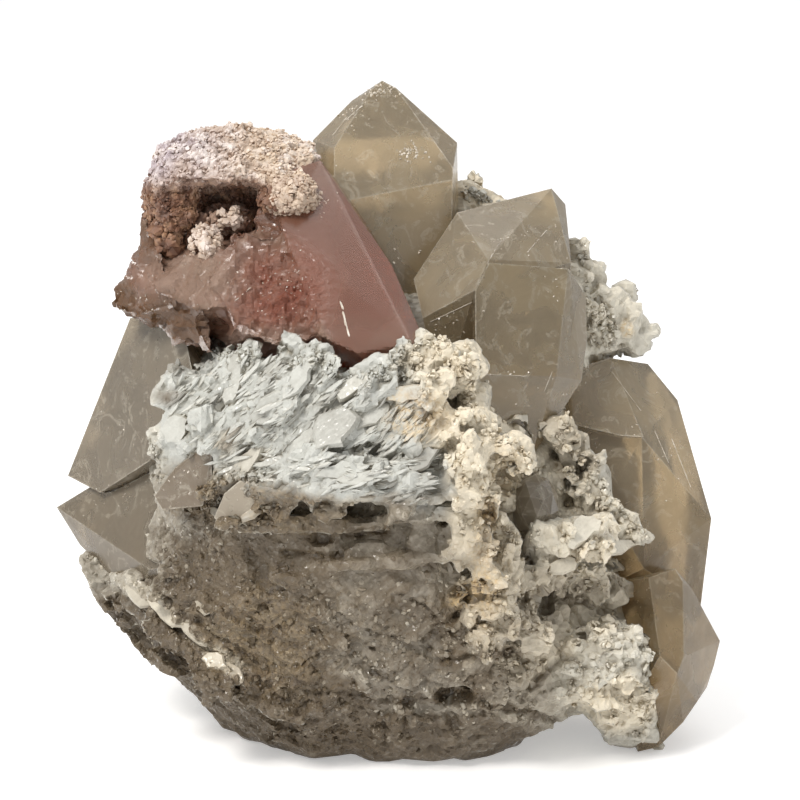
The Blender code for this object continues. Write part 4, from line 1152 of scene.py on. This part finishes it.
def albite_material():
    made, nodes, links, shader = blank_material("albite_look")
    place = place_node(nodes)
    tone, warm, stain, speck = split_tint(nodes, links)
    fine = noise_node(nodes, links, place, 1400, 4, 0.6)
    mottle = noise_node(nodes, links, place, 260, 4, 0.6)
    shade, reach = grains_node(nodes, links, place, 1900)
    grooves = grooves_node(nodes, links, place)
    pale = mix_node(nodes, links, warm, (0.465, 0.472, 0.44), (0.665, 0.60, 0.475))
    dull = mix_node(nodes, links, warm, (0.105, 0.083, 0.057), (0.112, 0.082, 0.048))
    uneven = math_node(nodes, links, "MULTIPLY_ADD", mottle, 0.66)
    uneven.node.inputs[2].default_value = -0.33
    dark = math_node(nodes, links, "ADD", tone, uneven)
    grainy = math_node(nodes, links, "MULTIPLY", shade, math_node(nodes, links, "ADD", speck, 0.25))
    dark = math_node(nodes, links, "ADD", dark, math_node(nodes, links, "MULTIPLY", grainy, 0.3))
    line = math_node(nodes, links, "MULTIPLY_ADD", grooves, -0.38)
    line.node.inputs[2].default_value = 0.15
    dark = math_node(nodes, links, "ADD", dark, line, clamp=True)
    body = mix_node(nodes, links, dark, pale, dull)
    rust = ramp_node(nodes, links, mottle, [(0.3, (0.22, 0.13, 0.055)), (0.5, (0.52, 0.38, 0.20)),
                                            (0.7, (0.74, 0.62, 0.42))])
    rust_share = math_node(nodes, links, "MULTIPLY", stain,
                           ramp_node(nodes, links, fine, [(0.38, 0.1), (0.6, 0.9)]))
    body = mix_node(nodes, links, rust_share, body, rust)
    dots = ramp_node(nodes, links, noise_node(nodes, links, place, 700, 6, 0.75, 0.4),
                     [(0.55, 0.0), (0.62, 1.0)])
    dot_share = math_node(nodes, links, "MULTIPLY", dots, speck)
    body = mix_node(nodes, links, dot_share, body, (0.10, 0.075, 0.05))
    # painted shade in the hollows and a painted highlight on the edges
    body = paint_hollow_shade_and_edge_light(nodes, links, body, 1.8 * MM, (0.62, 0.57, 0.49))
    links.new(body, shader.inputs["Base Color"])
    links.new(ramp_node(nodes, links, shade, [(0.1, 0.22), (0.5, 0.6)]),
              shader.inputs["Roughness"])
    grit = math_node(nodes, links, "MULTIPLY_ADD", speck, 0.4)
    grit.node.inputs[2].default_value = 0.25
    rough = bump_node(nodes, links, mottle, 0.45, 0.35 * MM)
    rough = bump_node(nodes, links, reach, grit, 0.25 * MM, rough)
    rough = bump_node(nodes, links, grooves, 0.5, 0.16 * MM, rough)
    rough = bump_node(nodes, links, fine, grit, 0.12 * MM, rough)
    links.new(rough, shader.inputs["Normal"])
    return made


def lepidolite_material():
    made, nodes, links, shader = blank_material("lepidolite_look")
    place = place_node(nodes)
    purple, cream, brown, white = split_tint(nodes, links)
    fine = noise_node(nodes, links, place, 1600, 4, 0.6)
    mottle = noise_node(nodes, links, place, 420, 4, 0.6)
    body = mix_node(nodes, links, purple, (0.46, 0.36, 0.29), (0.40, 0.34, 0.36))
    body = mix_node(nodes, links, cream, body, (0.58, 0.47, 0.36))
    lift = math_node(nodes, links, "MULTIPLY", white,
                     ramp_node(nodes, links, mottle, [(0.4, 0.0), (0.62, 1.0)]))
    body = mix_node(nodes, links, lift, body, (0.72, 0.66, 0.63))
    earth = ramp_node(nodes, links, mottle, [(0.36, (0.13, 0.062, 0.038)),
                                             (0.50, (0.18, 0.09, 0.052)),
                                             (0.66, (0.31, 0.18, 0.105))])
    body = mix_node(nodes, links, brown, body, earth)
    # painted shade in the hollows and a painted highlight on the edges
    body = paint_hollow_shade_and_edge_light(nodes, links, body, 1.4 * MM, (0.70, 0.60, 0.52))
    links.new(body, shader.inputs["Base Color"])
    links.new(ramp_node(nodes, links, fine, [(0.3, 0.25), (0.7, 0.7)]), shader.inputs["Roughness"])
    shader.inputs["Sheen Weight"].default_value = 0.1
    grain = bump_node(nodes, links, mottle, 0.6, 0.3 * MM)
    grain = bump_node(nodes, links, fine, 0.6, 0.1 * MM, grain)
    links.new(grain, shader.inputs["Normal"])
    return made


def absorb(made, nodes, links, shade, density):
    """Plain absorption inside a clear crystal."""
    soak = nodes.new("ShaderNodeVolumeAbsorption")
    soak.inputs["Color"].default_value = (*shade, 1.0)
    soak.inputs["Density"].default_value = density
    links.new(soak.outputs["Volume"], nodes["Material Output"].inputs["Volume"])


def rim_share(nodes, links, reach):
    """1 on the edges between two faces and 0 away from them."""
    rounded = nodes.new("ShaderNodeBevel")
    rounded.samples = 4
    rounded.inputs["Radius"].default_value = reach
    plain = nodes.new("ShaderNodeNewGeometry")
    match = nodes.new("ShaderNodeVectorMath")
    match.operation = "DOT_PRODUCT"
    links.new(rounded.outputs["Normal"], match.inputs[0])
    links.new(plain.outputs["Normal"], match.inputs[1])
    return ramp_node(nodes, links, match.outputs["Value"], [(0.955, 1.0), (0.995, 0.0)])


def quartz_material(name, clear, body_pale, body_dark, soak, density):
    made, nodes, links, shader = blank_material(name)
    place = place_node(nodes)
    cloud = noise_node(nodes, links, place, 110, 4, 0.6, 0.6)
    wisp = noise_node(nodes, links, place, 420, 5, 0.65, 1.5)
    body = mix_node(nodes, links, ramp_node(nodes, links, cloud, [(0.35, 0.0), (0.65, 1.0)]),
                    body_pale, body_dark)
    # lighter, less clear crystal edges: a painted highlight along the edges
    rim = math_node(nodes, links, "MULTIPLY", rim_share(nodes, links, 0.35 * MM),
                    ramp_node(nodes, links, wisp, [(0.4, 0.2), (0.6, 0.8)]))
    body = mix_node(nodes, links, rim, body, (0.78, 0.74, 0.64))
    threads = ramp_node(nodes, links, noise_node(nodes, links, place, 190, 7, 0.7, 2.6),
                        [(0.54, 0.0), (0.60, 0.42), (0.66, 0.0)])
    body = mix_node(nodes, links, threads, body, (0.70, 0.65, 0.54))
    axes = nodes.new("ShaderNodeSeparateXYZ")
    links.new(place, axes.inputs["Vector"])
    low = math_node(nodes, links, "MULTIPLY", axes.outputs["Z"], 1 / QUARTZ_FADE)
    foot = ramp_node(nodes, links, low, [(0.1, (0.68, 0.60, 0.48)), (1.0, (1.0, 1.0, 1.0))])
    body = mix_node(nodes, links, 1.0, body, foot, "MULTIPLY")
    links.new(body, shader.inputs["Base Color"])
    shader.inputs["IOR"].default_value = 1.54
    veil = ramp_node(nodes, links, cloud, [(0.42, 0.0), (0.75, 1.0)])
    veil = math_node(nodes, links, "MAXIMUM", math_node(nodes, links, "MAXIMUM", veil, rim), threads)
    haze = math_node(nodes, links, "MULTIPLY", veil, -0.3)
    seen = math_node(nodes, links, "ADD", haze, clear, clamp=True)
    links.new(seen, shader.inputs["Transmission Weight"])
    links.new(ramp_node(nodes, links, cloud, [(0.35, 0.20), (0.7, 0.36)]),
              shader.inputs["Roughness"])
    shader.inputs["Specular IOR Level"].default_value = 0.3
    shader.inputs["Coat Weight"].default_value = 0.12
    shader.inputs["Coat Roughness"].default_value = 0.05
    ripple = bump_node(nodes, links, cloud, 0.25, 0.4 * MM)
    ripple = bump_node(nodes, links, wisp, 0.12, 0.05 * MM, ripple)
    links.new(ripple, shader.inputs["Normal"])
    absorb(made, nodes, links, soak, density)
    return made


def morganite_material():
    made, nodes, links, shader = blank_material("morganite_look")
    place = place_node(nodes)
    pink, heart, frost, tan = split_tint(nodes, links)
    cloud = noise_node(nodes, links, place, 150, 4, 0.6, 0.6)
    etched = noise_node(nodes, links, place, 1300, 4, 0.65, 0.8)
    body = mix_node(nodes, links, pink, (0.43, 0.255, 0.18), (0.34, 0.14, 0.085))
    body = mix_node(nodes, links, heart, body, (0.24, 0.075, 0.042))
    body = mix_node(nodes, links, frost, body, (0.34, 0.23, 0.17))
    body = mix_node(nodes, links, tan, body, (0.15, 0.075, 0.032))
    links.new(body, shader.inputs["Base Color"])
    shader.inputs["IOR"].default_value = 1.58
    etching = math_node(nodes, links, "MAXIMUM", heart, frost)
    cloudy = math_node(nodes, links, "MAXIMUM", etching, math_node(nodes, links, "MULTIPLY", tan, 0.8))
    haze = math_node(nodes, links, "MULTIPLY", cloudy, -0.38)
    seen = math_node(nodes, links, "ADD", haze, 0.66, clamp=True)
    links.new(seen, shader.inputs["Transmission Weight"])
    gloss = math_node(nodes, links, "MULTIPLY", etching, 0.2)
    links.new(math_node(nodes, links, "ADD", gloss, 0.24), shader.inputs["Roughness"])
    shader.inputs["Specular IOR Level"].default_value = 0.3
    dull = math_node(nodes, links, "MULTIPLY", etching, -0.16)
    links.new(math_node(nodes, links, "ADD", dull, 0.24), shader.inputs["Coat Weight"])
    shader.inputs["Coat Roughness"].default_value = 0.08
    pits = math_node(nodes, links, "MULTIPLY", etched, etching)
    ripple = bump_node(nodes, links, cloud, 0.12, 0.4 * MM)
    ripple = bump_node(nodes, links, pits, 1.0, 0.45 * MM, ripple)
    links.new(ripple, shader.inputs["Normal"])
    absorb(made, nodes, links, (0.72, 0.36, 0.25), 70.0)
    return made


# Flecks and bright lines, among them painted glints and a painted highlight on the morganite.
def fleck_and_highlight_material():
    made, nodes, links, shader = blank_material("fleck_and_highlight_look")
    shade = noise_node(nodes, links, place_node(nodes), 900, 2)
    links.new(ramp_node(nodes, links, shade, [(0.3, (0.44, 0.39, 0.32)), (0.7, (0.74, 0.69, 0.61))]),
              shader.inputs["Base Color"])
    shader.inputs["Roughness"].default_value = 0.2
    return made


def dress(thing, look):
    thing.data.materials.clear()
    thing.data.materials.append(look)


def softened_edges(thing):
    edge = thing.modifiers.new("edge", "BEVEL")
    edge.width = 0.18 * MM
    edge.segments = 2
    edge.limit_method = "ANGLE"
    edge.angle_limit = math.radians(12)


def dress_crystals():
    smoky = quartz_material("smoky_quartz_look", 0.74, (0.56, 0.46, 0.305), (0.40, 0.315, 0.19),
                            (0.64, 0.51, 0.31), 48.0)
    pale = quartz_material("pale_quartz_look", 0.66, (0.39, 0.335, 0.255), (0.27, 0.225, 0.165),
                           (0.64, 0.54, 0.39), 64.0)
    brown = quartz_material("small_quartz_look", 0.50, (0.34, 0.28, 0.21), (0.20, 0.155, 0.11),
                            (0.52, 0.40, 0.27), 70.0)
    frosted = quartz_material("frosted_quartz_look", 0.45, (0.52, 0.46, 0.37), (0.38, 0.33, 0.26),
                              (0.66, 0.57, 0.43), 60.0)
    looks = {"quartz_left_crystal": pale, "quartz_left_wedge": pale, "quartz_oval_grain": pale,
             "quartz_small_left": brown, "quartz_small_right": frosted}
    for name in CRYSTALS[1:]:
        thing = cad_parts[name]
        dress(thing, looks.get(name, smoky))
        softened_edges(thing)


# Stage, light and camera

def stage_and_light():
    floor_shape = bmesh.new()
    bmesh.ops.create_grid(floor_shape, x_segments=1, y_segments=1, size=4.0)
    floor_mesh = bpy.data.meshes.new("floor")
    floor_shape.to_mesh(floor_mesh)
    floor_shape.free()
    floor = new_object("floor", floor_mesh)
    floor.location.z = -0.0002
    made, _, _, shader = blank_material("floor_look")
    shader.inputs["Base Color"].default_value = (FLOOR_SHADE,) * 3 + (1.0,)
    shader.inputs["Emission Color"].default_value = (1.0, 1.0, 1.0, 1.0)
    shader.inputs["Emission Strength"].default_value = FLOOR_GLOW
    shader.inputs["Roughness"].default_value = 0.8
    shader.inputs["Specular IOR Level"].default_value = 0.1
    dress(floor, made)

    world = bpy.data.worlds.new("studio")
    world.use_nodes = True
    nodes, links = world.node_tree.nodes, world.node_tree.links
    nodes["Background"].inputs["Color"].default_value = (1.0, 1.0, 1.0, 1.0)
    where = nodes.new("ShaderNodeTexCoord")
    parts = nodes.new("ShaderNodeSeparateXYZ")
    links.new(where.outputs["Generated"], parts.inputs["Vector"])
    glow = ramp_node(nodes, links, parts.outputs["Z"], [(0.0, SKY_LOW), (0.9, SKY_HIGH)])
    depth = math_node(nodes, links, "MULTIPLY_ADD", parts.outputs["Y"], 0.5)
    depth.node.inputs[2].default_value = 0.5
    front = ramp_node(nodes, links, depth, [(0.05, SKY_FRONT), (0.6, 1.0)])
    glow = math_node(nodes, links, "MULTIPLY", glow, front)
    links.new(glow, nodes["Background"].inputs["Strength"])
    bpy.context.scene.world = world

    for name, spot, size, power in LAMPS:
        lamp = bpy.data.lights.new(name, "AREA")
        lamp.size = size
        lamp.energy = power
        lamp.color = LAMP_TINT
        holder = bpy.data.objects.new(name, lamp)
        holder.location = spot
        aim = (VIEW_TARGET - Vector(spot)).to_track_quat("-Z", "Y")
        holder.rotation_euler = aim.to_euler()
        bpy.context.scene.collection.objects.link(holder)


def make_camera():
    lens = bpy.data.cameras.new("camera")
    lens.angle = 2 * math.atan(PHOTO_SIZE / 2 * PIXEL / VIEW_DISTANCE)
    lens.clip_start = 0.01
    eye = bpy.data.objects.new("camera", lens)
    eye.location = EYE
    eye.rotation_euler = (math.radians(90) - VIEW_RISE, 0, 0)
    bpy.context.scene.collection.objects.link(eye)
    bpy.context.scene.camera = eye
    bpy.context.scene.view_settings.view_transform = "Standard"


def finished_piece(thing, look, slot, *nodes):
    dress(thing, look)
    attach(thing, BODY)
    if nodes:
        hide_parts(*nodes)


def build_scene():
    make_camera()
    stage_and_light()
    albite = albite_material()
    mica = lepidolite_material()
    rock = rock_skin()
    crust = lepidolite_skin()
    blockers = [tree_of(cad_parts[n]) for n in CRYSTALS] + [tree_of(crust)]
    ground = Ground(rock, blockers)
    finished_piece(rock, albite, "albite", "albite_matrix")
    finished_piece(crust, mica, "lepidolite", "lepidolite_crust")
    finished_piece(fan_plates(ground).build("cleavelandite_fan"), albite, "albite")
    finished_piece(crust_growths(ground).build("albite_crust"), albite, "albite")
    finished_piece(loose_growths(ground).build("albite_chips"), albite, "albite")
    finished_piece(morganite_skin(), morganite_material(), "morganite", "morganite_crystal")
    finished_piece(stained_lumps().build("stained_lumps"), mica, "lepidolite")
    finished_piece(flecks_and_painted_highlights().build("flecks_and_painted_highlights"), fleck_and_highlight_material(), "smoky_quartz")
    finished_piece(mica_flakes(crust).build("mica_flakes"), mica, "lepidolite")
    dress_crystals()


build_scene()
